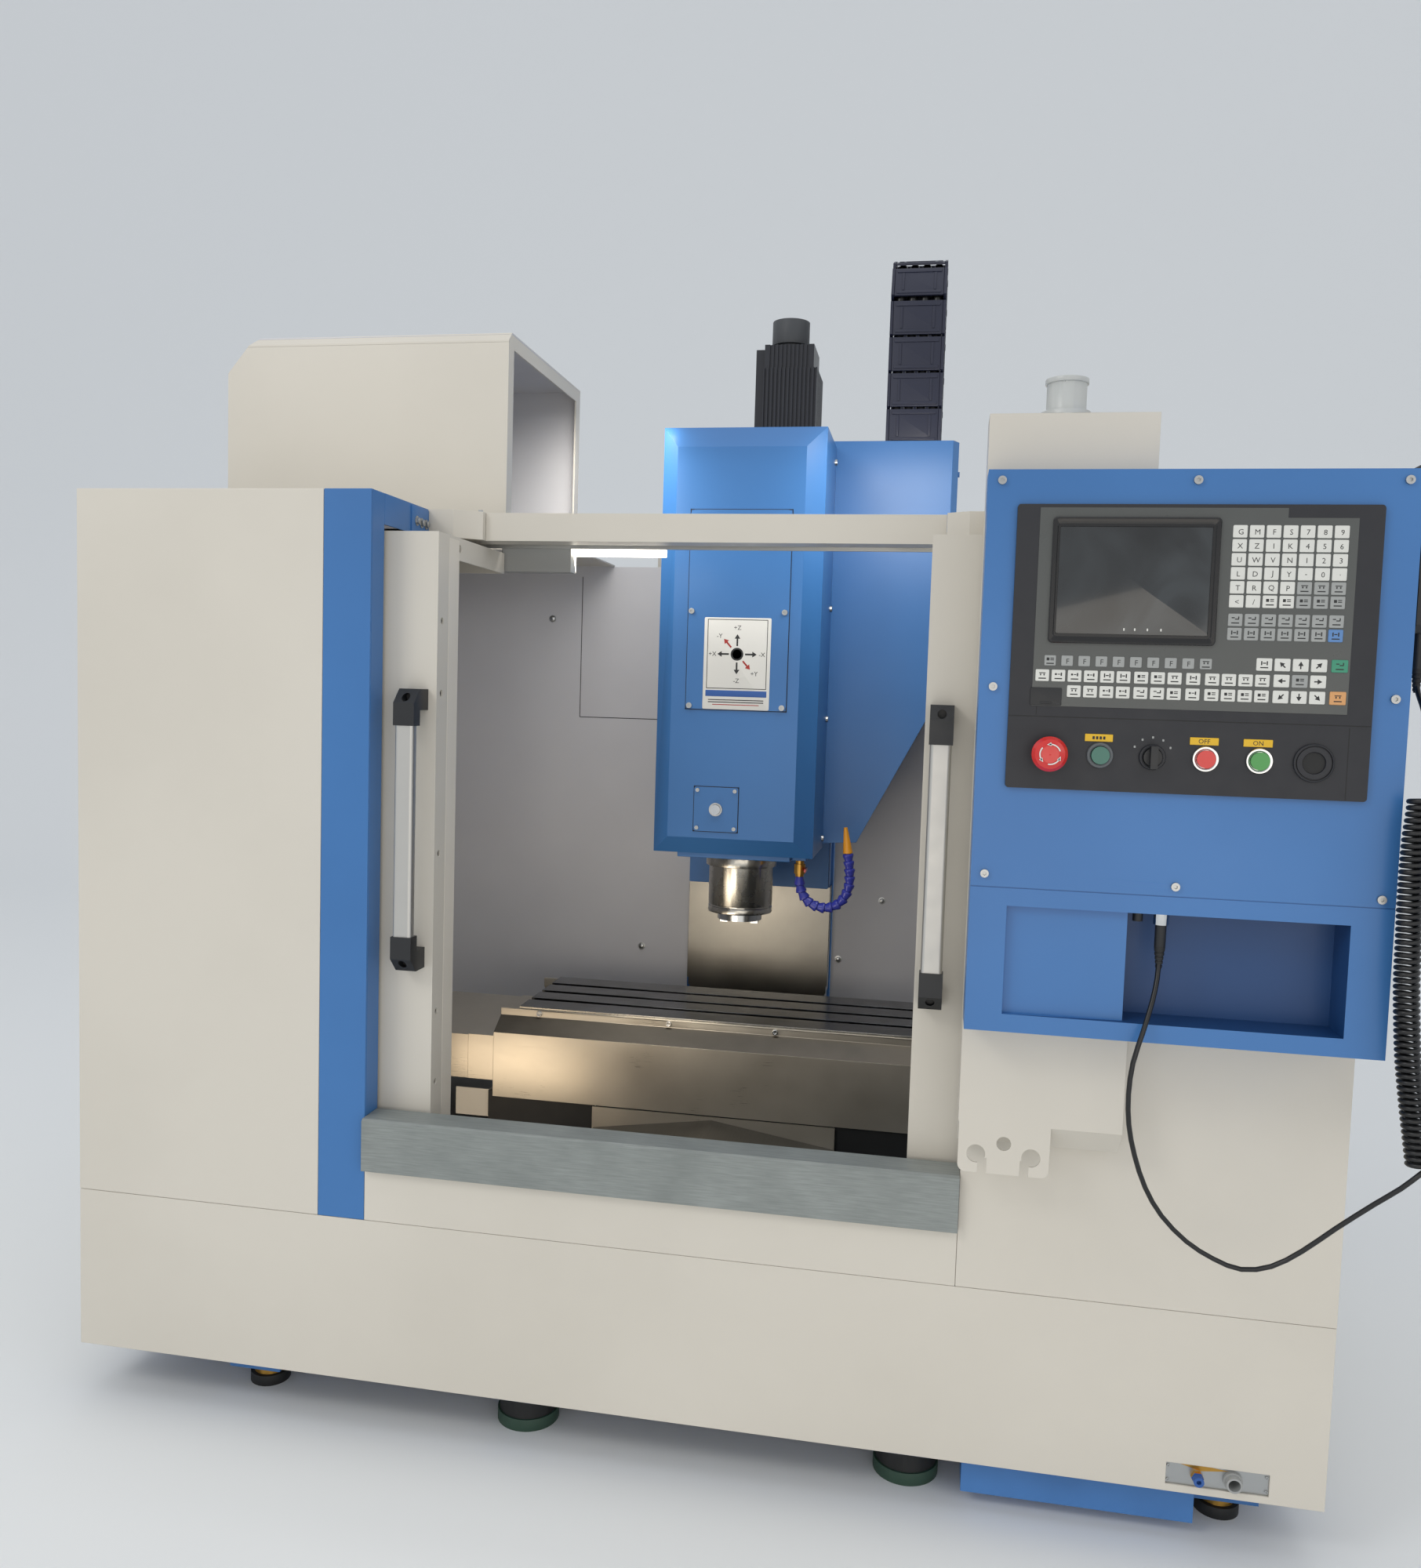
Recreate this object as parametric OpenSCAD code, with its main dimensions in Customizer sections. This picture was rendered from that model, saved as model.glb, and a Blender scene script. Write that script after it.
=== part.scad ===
// Small vertical machining centre with an open-top sheet-metal enclosure.
// Millimetres. X runs to the right, Y to the back, Z up, and Z = 0 is the floor.
// Inside the modules Y = 0 is the enclosure's front plane; place() moves it to the part's origin.

/* [Enclosure] */
// Width of the enclosure
cab_w = 1778; // [1700:1:1860]
// Height of the enclosure's top edge above the floor
cab_h = 1368; // [1340:1:1440]
// Distance from the front plane to the back wall
cab_d = 985; // [975:1:1010]
// Thickness of the enclosure's sheet metal
sheet = 3; // [2:0.5:4]
// Ground clearance under the skirt
skirt_z = 78; // [60:1:95]
// Top edge of the skirt
skirt_top = 320; // [300:1:330]
// Width of the left cabinet's front
left_w = 389; // [360:1:410]
// Width of the blue post beside the opening
post_w = 72; // [60:1:84]
// Width of the right cabinet's front
right_w = 474; // [460:1:490]

/* [Doors] */
// Width of one sliding door
door_w = 450; // [440:1:470]
// Depth of the folded door leaf
door_t = 78; // [60:1:84]

/* [Control box] */
// Width of the control box
box_w = 475; // [460:1:490]
// Depth of the control box
box_t = 120; // [105:1:130]
// Height of the control box
box_h = 671; // [655:1:680]

/* [Table] */
// Length of the table
table_l = 770; // [760:1:780]
// Depth of the table, front to back
table_d = 250; // [240:1:256]
// Height of the table's top above the floor
table_z = 520; // [515:1:526]
// Width of a T-slot at the table's top
slot_w = 14; // [10:1:16]
// Distance between two T-slots
slot_pitch = 63; // [58:1:70]
// How far the table rests to the right of the machine's middle
table_x0 = 17; // [0:1:20]

/* [Head] */
// Width of the head cover
head_w = 294; // [284:1:300]
// Height of the spindle nose above the floor, at rest
nose_z = 670; // [650:1:690]
// Distance from the front plane to the spindle's axis
spindle_y = 704; // [700:1:710]
// Diameter of the spindle housing
housing_d = 122; // [110:1:130]
// Radius of the cable chain's bend, at mid-height of its links
chain_r = 80; // [75:1:84]

/* [Hood] */
// Width of the hood
hood_w = 491; // [470:1:500]
// Height of the hood above the enclosure
hood_h = 299; // [260:1:320]

/* [Clearances] */
// Gap between a moving sheet and its neighbour
run_gap = 1; // [0.6:0.1:1.4]
// Radial running clearance of a shaft in its bore
fit_gap = 0.05; // [0.02:0.01:0.09]
// Gap between pieces that are drawn apart but sit together
seat_gap = 0.3; // [0.2:0.05:0.4]

/* [Hidden] */
$fn = 48;
hw = cab_w / 2;
open_l = -hw + left_w + post_w;
open_r = hw - right_w;
mid_y = 692;
bed_top = 262;
wall_z = cab_h - sheet;
sill_z = 474;
sill_low = 397;
door_y = 50;
door_z0 = 440;
door_z1 = cab_h - 52;
door_lx = open_l + 79;
door_rx = open_r - 71;
top_d = 272;
beam_z = 400;
head_bot = nose_z + 126;
head_top = head_bot + 777;
cov_y = spindle_y - 146;
wing_y = cov_y + 222;
slide_y = spindle_y + 236;
bore_r = 50;
col_y = slide_y + 90;
col_top = head_bot + 804;
col_t = 215;
tab_y0 = 498;
tab_y = tab_y0 + table_d / 2;
tab_bot = table_z - 42;
sad_y0 = tab_y0 - 31;
sad_y1 = tab_y0 + table_d + 10;
sad_z0 = bed_top + 52;
sad_z1 = 400;
rail_x = 150;
box_x1 = hw - 6;
box_x0 = box_x1 - box_w;
box_z1 = cab_h + 2;
box_z0 = box_z1 - box_h;
unit_x0 = box_x0 + 35;
unit_z0 = box_z0 + 297;
strip_z = unit_z0 + 42;
step = 2 + seat_gap;
pend_x = hw + 18;
pend_z = box_z1 - 180;
cord_r = 3;
coil_r = 14;
lead_pts = [[box_x0 + 224, -105, box_z0 + 114], [box_x0 + 224, -105, box_z0 + 100], [630, -112, 775],
    [624, -123, 749], [614, -133, 715],
    [604, -137, 678], [601, -136, 640], [604, -131, 602], [613, -126, 564], [628, -121, 524],
    [649, -117, 490], [679, -115, 461], [711, -115, 443], [742, -118, 435], [774, -122, 444],
    [805, -127, 468], [838, -132, 502], [871, -138, 538], [895, -143, 562], [905, -145, 580]];
coil_pts = [for (i = [0 : 12]) [906 - 27 * i / 12, -145, 584 + 418 * i / 12]];
tail_pts = [[879, -145, 1002], [883, -144, 1020], [889, -138, 1044], [895, -124, 1070], [900, -105, 1092],
    [904, -86, 1109], [907, -71, 1122], [pend_x, -65, pend_z - 54], [pend_x, -65, pend_z - 40]];
y_screw_z = bed_top + 34;
x_screw_z = sad_z1 + 20;
z_screw_y = col_y - 18;
z_seg = nose_z - 180;
corner_feet = [[-633, 107], [782, 107], [-633, 1160], [782, 1160]];
inner_feet = [[-205, 100], [359, 100], [-205, 1240], [359, 1240]];
mot_x = 49;
mot_y = spindle_y + 158;
hose_x = 118;
hose_y = spindle_y - 54;
hose_pts = [[118, 0, -30.5], [119, 0, -47], [123, 0, -60], [130, 0, -72], [140, 0, -81], [153, 0, -86],
    [167, 0, -88], [181, 0, -85], [193, 0, -78], [202, 0, -67], [208, 0, -54], [211, 0, -40], [211, 0, -26],
    [210, 0, -12], [208, 0, 2], [206, 0, 15]];
chain_y = wing_y + 40;
chain_z0 = head_top + 13;
chain_zc = chain_z0 + 273;
chain_end = cab_h + 7;
chain_up = chain_zc - chain_z0;
chain_len = chain_up + PI * chain_r + chain_zc - chain_end;
chain_n = 15;
ec_y = col_y + 280;
ec_d = 215;
ec_w = 640;
ec_z0 = 360;
ec_z1 = 1420;
cream = "#d9d5c7";
blue = "#4f86c6";
steel = "#b9bcbd";
cast = "#4b4f52";
black = "#222326";

// A box given by its six limits.
module bx(x0, x1, y0, y1, z0, z1) {
    translate([x0, y0, z0]) cube([x1 - x0, y1 - y0, z1 - z0]);
}

module bar_x(x0, x1, y, z, r) {
    translate([x0, y, z]) rotate([0, 90, 0]) cylinder(r = r, h = x1 - x0);
}

module bar_y(x, y0, y1, z, r) {
    translate([x, y1, z]) rotate([90, 0, 0]) cylinder(r = r, h = y1 - y0);
}

module bar_z(x, y, z0, z1, r) {
    translate([x, y, z0]) cylinder(r = r, h = z1 - z0);
}

// Extrusions of a flat profile: (Y, Z) along X, and (X, Z) along Y.
module along_x(x0, x1) {
    translate([x0, 0, 0]) rotate([90, 0, 90]) linear_extrude(x1 - x0) children();
}

module along_y(y0, y1) {
    translate([0, y1, 0]) rotate([90, 0, 0]) linear_extrude(y1 - y0) children();
}

// Rectangle with round corners, centred on the origin.
module rrect(w, h, r) {
    square([w - 2 * r, h], center = true);
    square([w, h - 2 * r], center = true);
    for (x = [-1, 1], y = [-1, 1])
        translate([x * (w / 2 - r), y * (h / 2 - r)]) circle(r = r);
}

// A plate in the XZ plane with round corners.
module plate_y(x, z, w, h, y0, y1, r) {
    along_y(y0, y1) translate([x, z]) rrect(w, h, r);
}

// Socket-head screw seen from the front: its head is at (x, z) on the face y.
module screw_front(x, y, z, r) {
    difference() {
        bar_y(x, y - r * 0.8, y, z, r);
        translate([x, y - r * 0.3, z]) rotate([90, 30, 0]) cylinder(r = r * 0.5, h = r, $fn = 6);
    }
}

// Hexagon-head screw standing on the face z.
module screw_top(x, y, z, r) {
    translate([x, y, z]) cylinder(r = r * 1.3, h = r * 0.3);
    translate([x, y, z + r * 0.3]) cylinder(r = r, h = r * 0.9, $fn = 6);
}

// Enclosure

module front_skirt() {
    color(cream)
    difference() {
        bx(-hw, hw, 0, sheet, skirt_z, skirt_top - seat_gap);
        bx(hw - 195, hw - 68, -1, sheet + 1, skirt_z + 10, skirt_z + 39);
    }
}

module left_front_panel() {
    color(cream) bx(-hw, open_l - post_w - seat_gap, 0, sheet, skirt_top, cab_h);
}

module blue_post() {
    color(blue) {
        bx(open_l - post_w, open_l, 0, sheet, skirt_top, cab_h);
        bx(open_l - sheet, open_l, sheet + seat_gap, 42, skirt_top, cab_h);
        bx(open_l - sheet, open_l, 42 + seat_gap, 225, cab_h - 44, cab_h);
    }
}

module right_front_panel() {
    color(cream) {
        bx(open_r, hw, 0, sheet, skirt_top, cab_h);
        bx(open_r, open_r + sheet, sheet + seat_gap, 42, skirt_top, cab_h);
        bx(open_r, open_r + sheet, 42 + seat_gap, 225, cab_h - 44, cab_h);
    }
}

module side_panels() {
    color(cream)
    for (s = [-1, 1])
        bx(s > 0 ? hw - sheet : -hw, s > 0 ? hw : -hw + sheet, sheet + seat_gap, cab_d + sheet, skirt_z,
            wall_z - seat_gap);
}

// Folded sill: front face, top face and a lip down behind.
module door_sill() {
    color("#8fa3ad")
    along_x(open_l + seat_gap, open_r - seat_gap)
        polygon([[-12, sill_low], [-12, sill_z - 3], [-9, sill_z], [38, sill_z], [40, sill_z - 2],
            [40, sill_z - 44], [37, sill_z - 44], [37, sill_z - 3], [-8, sill_z - 3], [-9, sill_z - 4],
            [-9, sill_low + 3], [3, sill_low + 3], [3, sill_low]]);
}

module sill_apron() {
    color(cream) bx(open_l + seat_gap, open_r - seat_gap, 0, sheet, skirt_top, sill_low);
}

// Beam over the opening, set back from the front, with a joint piece at each end.
module header_beam() {
    color(cream) {
        bx(open_l + 81, open_r - 54, 230, 276, cab_h - 43, cab_h);
        translate([open_l, 0, cab_h - 43]) linear_extrude(43)
            polygon([[0, 195], [41, 195], [81 - seat_gap, 218], [81 - seat_gap, 276], [0, 276]]);
        translate([open_r, 0, cab_h - 43]) linear_extrude(43)
            polygon([[0, 195], [-22, 195], [seat_gap - 54, 213], [seat_gap - 54, 276], [0, 276]]);
    }
}

module roof_sheets() {
    color(cream) {
        bx(-hw, open_l - sheet - seat_gap, sheet + seat_gap, 306, wall_z, cab_h);
        bx(-hw, -hw + 61, 306 + seat_gap, 694 - seat_gap, wall_z, cab_h);
        bx(-hw, open_l + 88, 694, cab_d + sheet, wall_z, cab_h);
        bx(open_l - sheet, open_l + 88, 276, 306, wall_z, cab_h);
        bx(open_r + sheet + seat_gap, hw, sheet + seat_gap, 276 - seat_gap, wall_z, cab_h);
        bx(open_r - 15, hw, 276, cab_d + sheet, wall_z, cab_h);
    }
}

module back_panels() {
    color("#a9adb0")
    for (s = [0, 1]) mirror([s, 0, 0]) {
        bx(155, hw - sheet - seat_gap, cab_d, cab_d + sheet, 300, wall_z - seat_gap);
        bx(270, hw - sheet - seat_gap, cab_d, cab_d + sheet, 101, 300 - seat_gap);
    }
}

// Sloping floor of the work area, its front wall and the trough in front of the bed.
module chip_pan() {
    color("#7f858a") {
        for (s = [0, 1]) mirror([s, 0, 0]) {
            along_y(150 + seat_gap, cab_d - seat_gap)
                polygon([[262, 285], [hw - sheet, 347], [hw - sheet, 350], [262, 288]]);
            bx(262, 265, 150 + seat_gap, 320, 240, 285 - seat_gap);
        }
        bx(-262 + seat_gap, 262 - seat_gap, 150 + seat_gap, 320, 240, 243);
        bx(-hw + sheet, hw - sheet, 147, 150, 240, beam_z);
    }
}

module front_beam() {
    color("#6d7378")
    difference() {
        bx(-hw + sheet, hw - sheet, 55, 125, beam_z - 70, beam_z);
        bx(-hw, hw, 59, 121, beam_z - 66, beam_z - 4);
    }
}

// Lower track on the beam and upper guide bar behind the header.
module door_tracks() {
    color(steel) {
        difference() {
            bx(-hw + 70, hw - 70, 72, 106, beam_z + seat_gap, beam_z + 15);
            bx(-hw, hw, 75, 103, beam_z + 3, beam_z + 20);
        }
        bx(-hw + 80, hw - 80, 300, 304, cab_h - 46, cab_h - 16);
        for (x = [-hw + 90, open_l - 20, open_r + 12, hw - 98]) bx(x, x + 8, 300, 304, cab_h - 16, wall_z);
        for (x = [-300, -4, 300]) bx(x, x + 8, 276, 300, cab_h - 22, cab_h - 16);
        for (x = [open_l + 205, open_l + 330]) bx(x, x + 10, 276, 344, cab_h - 22, cab_h - 19);
    }
}

// Guard over the tool changer's place. It is open to the spindle and downwards.
module hood() {
    x0 = -hw + 58;
    x1 = x0 + hood_w;
    z1 = cab_h + hood_h;
    color(cream)
    difference() {
        union() {
            difference() {
                along_y(300, 700)
                    polygon([[x0, cab_h], [x1, cab_h], [x1, z1], [x0 + 50, z1], [x0, z1 - 60]]);
                difference() {
                    along_y(303, 697)
                        polygon([[x0 + 3, cab_h - 1], [x1 + 1, cab_h - 1], [x1 + 1, z1 - 3],
                            [x0 + 51, z1 - 3], [x0 + 3, z1 - 61]]);
                    along_x(x0, x1 + 2) polygon([[299, z1 - 20.2], [320.2, z1 + 1], [299, z1 + 1]]);
                }
            }
            for (y = [300, 675]) bx(x1 - 3, x1, y, y + 25, cab_h, z1 - 25);
            bx(x1 - 3, x1, 300, 700, z1 - 25, z1);
        }
        along_x(x0 - 1, x1 + 1) polygon([[299, z1 - 16], [316, z1 + 1], [299, z1 + 1]]);
        bx(x0 - 1, x1 - 3, 303, 303 + seat_gap, cab_h - 1, z1 - 18);
        bx(x0 - 1, x1 + 1, 299, 304, z1 - 18.3, z1 - 18);
        bx(x0 - 1, x1 - 3, 697 - seat_gap, 697, cab_h - 1, z1 - 3);
        bx(x0 - 1, x1 + 1, 303, 697, z1 - 3 - seat_gap, z1 - 3);
        translate([x0 + 1.5, 0, z1 - 60.5]) rotate([0, 18.4, 0])
            bx(-6, 6, 303, 697, -seat_gap / 2, seat_gap / 2);
    }
}

module work_lamp() {
    color("#f4f4ee") {
        bx(open_l + 191, open_l + 345, 326, 350, cab_h - 53, cab_h - 41);
        bx(open_l + 191, open_l + 345, 328, 348, cab_h - 41, cab_h - 22);
    }
}

module lamp_duct() {
    color("#9c9f9e") bx(open_l + 73, open_l + 190.7, 326, 356, cab_h - 81, cab_h - 22);
}

// Pillar that carries the control box; its foot slopes back to the cabinet.
module pillar() {
    color("#d4d2c9")
    along_x(box_x0, box_x0 + 200)
        polygon([[-60, 565], [-60, cab_h + 80], [0, cab_h + 80], [0, 530], [-25, 530]]);
}

module beacon() {
    x = box_x0 + 92;
    z = cab_h + 80;
    color("#d7dad8") {
        bar_z(x, -30, z, z + 6, 30);
        bar_z(x, -30, z + 6, z + 40, 24);
    }
    color("#c8ccca") bar_z(x, -30, z + 40, z + 46, 26);
}

// Shallow box around the pillar, with the recess for the cables in its lower part.
module control_box() {
    rx0 = box_x0 + 44;
    rx1 = box_x1 - 46;
    color(blue)
    difference() {
        bx(box_x0, box_x1, -box_t, -seat_gap, box_z0, box_z1);
        bx(box_x0 - 1, box_x0 + 200 + seat_gap, -60 - seat_gap, 1, box_z0 - 1, box_z1 + 1);
        bx(rx0, rx1, -box_t - 1, -box_t + 10, box_z0 + 22, box_z0 + 154);
        bx(rx0 + 141, rx1, -box_t - 1, -box_t + 58, box_z0 + 22, box_z0 + 154);
        bx(box_x0 - 1, box_x1 + 1, -box_t - 1, -box_t + 1.2, box_z0 + 175.4, box_z0 + 176.6);
        bx(box_x0 + 203, box_x1 - 3, -box_t + 61, 1, box_z0 + 3, box_z1 - 3);
    }
}

// Hanger plate under the pillar, with one hole and two open keyholes.
module hook_plate() {
    x = box_x0 + 57.5;
    color("#d2cfc2")
    difference() {
        along_y(-60, -57) translate([x, 540]) rrect(113, 80, 10);
        bar_y(x, -61, -56, 540, 9);
        for (s = [-1, 1]) {
            bar_y(x + s * 34, -61, -56, 524.5, 11.6);
            bx(x + s * 26 - 5.5, x + s * 26 + 5.5, -61, -56, 499, 520);
        }
    }
}

module cnc_unit() {
    color(black)
    difference() {
        plate_y(unit_x0 + 200, unit_z0 + 166.5, 400, 333, -box_t - 6, -box_t, 4);
        for (i = [0 : 5]) bar_y(strip_x(i), -box_t - 7, -box_t + 1, strip_z, 11.3);
    }
}

function strip_x(i) = unit_x0 + 48 + i * 58.6;

module display_screen() {
    color("#2b2d30")
    difference() {
        plate_y(unit_x0 + 134, unit_z0 + 245, 184, 144, -box_t - 9, -box_t - 6, 3);
        bx(unit_x0 + 49, unit_x0 + 218, -box_t - 10, -box_t - 7.5, unit_z0 + 183, unit_z0 + 307);
    }
    color("#6f7b85")
    bx(unit_x0 + 49, unit_x0 + 218, -box_t - 7.5, -box_t - 6.5, unit_z0 + 183, unit_z0 + 307);
}

// Key field: rows of keys of the unit, each as [x, z, width, height].
function key_row(x, z, n, dx, w, h) = [for (i = [0 : n - 1]) [x + i * dx, z, w, h]];

module keypad_keys() {
    keys = concat([for (j = [0 : 5]) each key_row(247.5, 302.5 - j * 15.8, 7, 18, 15.4, 14)],
        [for (j = [0 : 1]) each key_row(247.5, 202.4 - j * 16, 7, 18, 15.4, 14)],
        key_row(45, 151.4, 10, 19.28, 13.2, 12.2),
        [for (j = [0 : 1]) each key_row(36.8, 133.8 - j * 17.8, 13, 18.4, 15.4, 13.8)],
        [for (j = [0 : 2]) each key_row(301.2, 152.4 - j * 18.2, 3, 19.5, 17, 14.4)],
        key_row(281.7, 152.4, 1, 1, 17, 14.4), key_row(362, 116.2, 1, 1, 17.5, 15));
    color("#c9cccd")
    for (k = keys)
        bx(unit_x0 + k[0] - k[2] / 2, unit_x0 + k[0] + k[2] / 2, -box_t - 7.2, -box_t - 6,
            unit_z0 + k[1] - k[3] / 2, unit_z0 + k[1] + k[3] / 2);
}

// Round blank at the end of the button strip.
module panel_blank() {
    color(black) {
        bar_y(strip_x(5), -box_t - 11, -box_t - 6, strip_z, 22);
        bar_y(strip_x(5), -box_t - 17, -box_t - 11, strip_z, 12);
    }
}

module bezel(i, r) {
    difference() {
        bar_y(strip_x(i), -box_t - 10, -box_t - 6, strip_z, r);
        bar_y(strip_x(i), -box_t - 11, -box_t - 5, strip_z, 10.6);
    }
}

module button_bezels() {
    color("#c4c7c9") for (i = [1 : 4]) bezel(i, 15);
    color("#e0b21c") bezel(0, 14);
}

module push_cap(i, c) {
    color(c) bar_y(strip_x(i), -box_t - 14, -box_t - 4.5, strip_z, 10.3);
}

module estop_button() {
    color("#c8201c")
    translate([strip_x(0), -box_t - 4.5, strip_z]) rotate([90, 0, 0])
    rotate_extrude()
        polygon([[0, 0], [10.2, 0], [10.2, 12], [17, 13], [20.5, 17], [20.5, 23], [17, 28], [10, 30.5],
            [0, 31]]);
}

module teal_button() {
    push_cap(1, "#39b6a8");
}

module red_button() {
    push_cap(3, "#d8352c");
}

module green_button() {
    push_cap(4, "#35b05a");
}

module selector_knob() {
    color(black) {
        bar_y(strip_x(2), -box_t - 13, -box_t - 4.5, strip_z, 10.3);
        bx(strip_x(2) - 4, strip_x(2) + 4, -box_t - 24, -box_t - 13, strip_z - 13, strip_z + 13);
    }
}

module cord_connector() {
    x = box_x0 + 224;
    z = box_z0 + 154;
    color("#b48a46") bar_z(x, -105, z - 14, z, 9);
    color(black) bar_z(x, -105, z - 40, z - 14, 6.5);
    color(black) bar_z(x - 26, -100, z - 12, z, 6);
}

module cord_lead() {
    color(black) tube(lead_pts, cord_r, 10);
}

module cord_coil() {
    color(black) tube(coil_pts, coil_r, 12);
}

module cord_tail() {
    color(black) tube(tail_pts, cord_r, 10);
}

// Round tube swept along points.
function unit3(v) = v / norm(v);
function dir_at(p, i) = unit3(p[min(i + 1, len(p) - 1)] - p[max(i - 1, 0)]);
function side_at(d) = unit3(cross(d, abs(d[1]) < 0.9 ? [0, 1, 0] : [1, 0, 0]));
module tube(p, r, n) {
    rings = [for (i = [0 : len(p) - 1])
        let (d = dir_at(p, i), u = side_at(d), v = cross(d, u))
        for (k = [0 : n - 1]) p[i] + r * (cos(360 * k / n) * u + sin(360 * k / n) * v)];
    m = len(p);
    polyhedron(rings, concat([[for (k = [0 : n - 1]) k]],
        [for (i = [0 : m - 2], k = [0 : n - 1])
            [i * n + k, (i + 1) * n + k, (i + 1) * n + (k + 1) % n, i * n + (k + 1) % n]],
        [[for (k = [0 : n - 1]) m * n - 1 - k]]), 10);
}

// Hand-held pendant, hung on the right side of the control box.

module pendant_hook() {
    color(steel) {
        bx(box_x1, pend_x - 18, -92, -38, pend_z + 60, pend_z + 150);
    }
}

module pendant_body() {
    color(black)
    difference() {
        union() {
            along_x(pend_x - 18, pend_x + 18)
                polygon([[-99, pend_z], [-31, pend_z], [-25, pend_z + 8], [-25, pend_z + 182],
                    [-31, pend_z + 190], [-99, pend_z + 190], [-105, pend_z + 182], [-105, pend_z + 8]]);
            bar_z(pend_x, -65, pend_z - 40, pend_z + 1, 6.5);
        }
        bar_x(pend_x + 6, pend_x + 20, -65, pend_z + 50, 6 + fit_gap);
        for (y = [-85, -45]) bar_x(pend_x + 8, pend_x + 20, y, pend_z + 140, 4 + fit_gap);
    }
}

module pendant_wheel() {
    color("#dfe1e0") {
        bar_x(pend_x + 8, pend_x + 19, -65, pend_z + 50, 6);
        difference() {
            bar_x(pend_x + 19, pend_x + 27, -65, pend_z + 50, 31);
            bar_x(pend_x + 25, pend_x + 28, -65, pend_z + 50, 24);
        }
        bar_x(pend_x + 24, pend_x + 36, -65, pend_z + 68, 4);
    }
}

module pendant_knob(y) {
    color("#3a3c3f") {
        bar_x(pend_x + 10, pend_x + 19, y, pend_z + 140, 4);
        bar_x(pend_x + 19, pend_x + 30, y, pend_z + 140, 11);
        bx(pend_x + 30, pend_x + 32, y - 1.5, y + 1.5, pend_z + 141, pend_z + 150);
    }
}

module axis_knob() {
    pendant_knob(-85);
}

module step_knob() {
    pendant_knob(-45);
}

// Fittings in the skirt's window

module fitting_plate() {
    color("#9a9da0")
    difference() {
        bx(hw - 200, hw - 63, sheet, sheet + 3, skirt_z + 5, skirt_z + 44);
        bar_y(hw - 156, sheet - 1, sheet + 4, skirt_z + 24, 6 + seat_gap);
        bar_y(hw - 112, sheet - 1, sheet + 4, skirt_z + 24, 10 + seat_gap);
    }
}

module air_fitting() {
    color("#c09b4e") {
        bar_y(hw - 156, sheet, sheet + 26, skirt_z + 24, 6);
        translate([hw - 156, sheet, skirt_z + 24]) rotate([90, 0, 0]) cylinder(r = 8, h = 6, $fn = 6);
    }
    color("#2f62b5") difference() {
        bar_y(hw - 156, sheet - 15, sheet - 6, skirt_z + 24, 6.5);
        bar_y(hw - 156, sheet - 16, sheet - 10, skirt_z + 24, 3);
    }
}

module drain_pipe() {
    color("#85898c")
    difference() {
        union() {
            bar_y(hw - 112, sheet - 12, sheet + 24, skirt_z + 24, 10);
            bar_y(hw - 112, sheet - 4, sheet, skirt_z + 24, 12);
        }
        bar_y(hw - 112, sheet - 13, sheet + 25, skirt_z + 24, 7.5);
    }
}

// Base

module bed_casting() {
    color(cast)
    difference() {
        union() {
            bx(-260, 260, 320, col_y + 260, 100, bed_top);
            for (s = [-1, 1]) bx(s * rail_x - 35, s * rail_x + 35, 350, col_y - 50, bed_top, bed_top + 18);
            bx(-240, 240, col_y - 6, col_y + 260, bed_top, bed_top + 28);
            bx(-45, 45, 320, 352, bed_top, bed_top + 66);
            for (s = [-1, 1]) bx(s * 198 - 5, s * 198 + 5, 320, 338, bed_top, bed_top + 28);
        }
        bar_y(0, 310, 360, y_screw_z, 10 + fit_gap);
        for (x = [-180, 0, 180]) bx(x - 70, x + 70, 380, col_y - 70, 99, bed_top - 22);
        bx(-60, 60, 400, col_y - 20, bed_top - 12, bed_top + 1);
    }
}

// Levelling pads: small ones with a brass ring at the corners, broad ones under the beams.
module levelling_feet() {
    for (p = corner_feet) {
        color(black) bar_z(p[0], p[1], 0, 16, 30);
        color("#c7a45a") bar_z(p[0], p[1], 16, 27, 24);
    }
    for (p = inner_feet) {
        color("#3b4a3f") bar_z(p[0], p[1], 0, 18, 46);
        color(black) bar_z(p[0], p[1], 18, 60, 43);
    }
}

module base_outriggers() {
    color("#3f77b8") {
        for (x = [-206, 358]) bx(x - 34, x + 34, 30, 1290, 60, 100);
        for (y = [130, 1130]) {
            bx(-hw + sheet, -240, y, y + 60, 60, 100);
            bx(-172, 324, y, y + 60, 60, 100);
            bx(392, hw - sheet, y, y + 60, 60, 100);
        }
        for (x = [-685, 746]) {
            bx(x, x + 84, 76, 131, 27, 100);
            bx(x, x + 84, 1130, 1190, 27, 61);
        }
        bx(391, 747, 30, 84, 80, 100);
        bx(435, 737, 30, 84, 20, 81);
    }
}

module column_casting() {
    color("#4a7fbe")
    difference() {
        union() {
            along_x(-150, 150)
                polygon([[col_y, bed_top + 28], [col_y + 260, bed_top + 28], [col_y + 260, 520],
                    [col_y + col_t, col_top], [col_y, col_top]]);
            for (s = [0, 1]) mirror([s, 0, 0])
                along_y(col_y + 30, col_y + 240)
                    polygon([[150, bed_top + 28], [225, bed_top + 28], [225, bed_top + 60],
                        [150, bed_top + 260]]);
        }
        bx(-50, 50, col_y - 1, col_y + 25, 430, col_top - 40);
        for (z = [560, 900, 1240]) bx(-110, 110, col_y + 120, col_y + 280, z, z + 230);
    }
}

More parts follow.
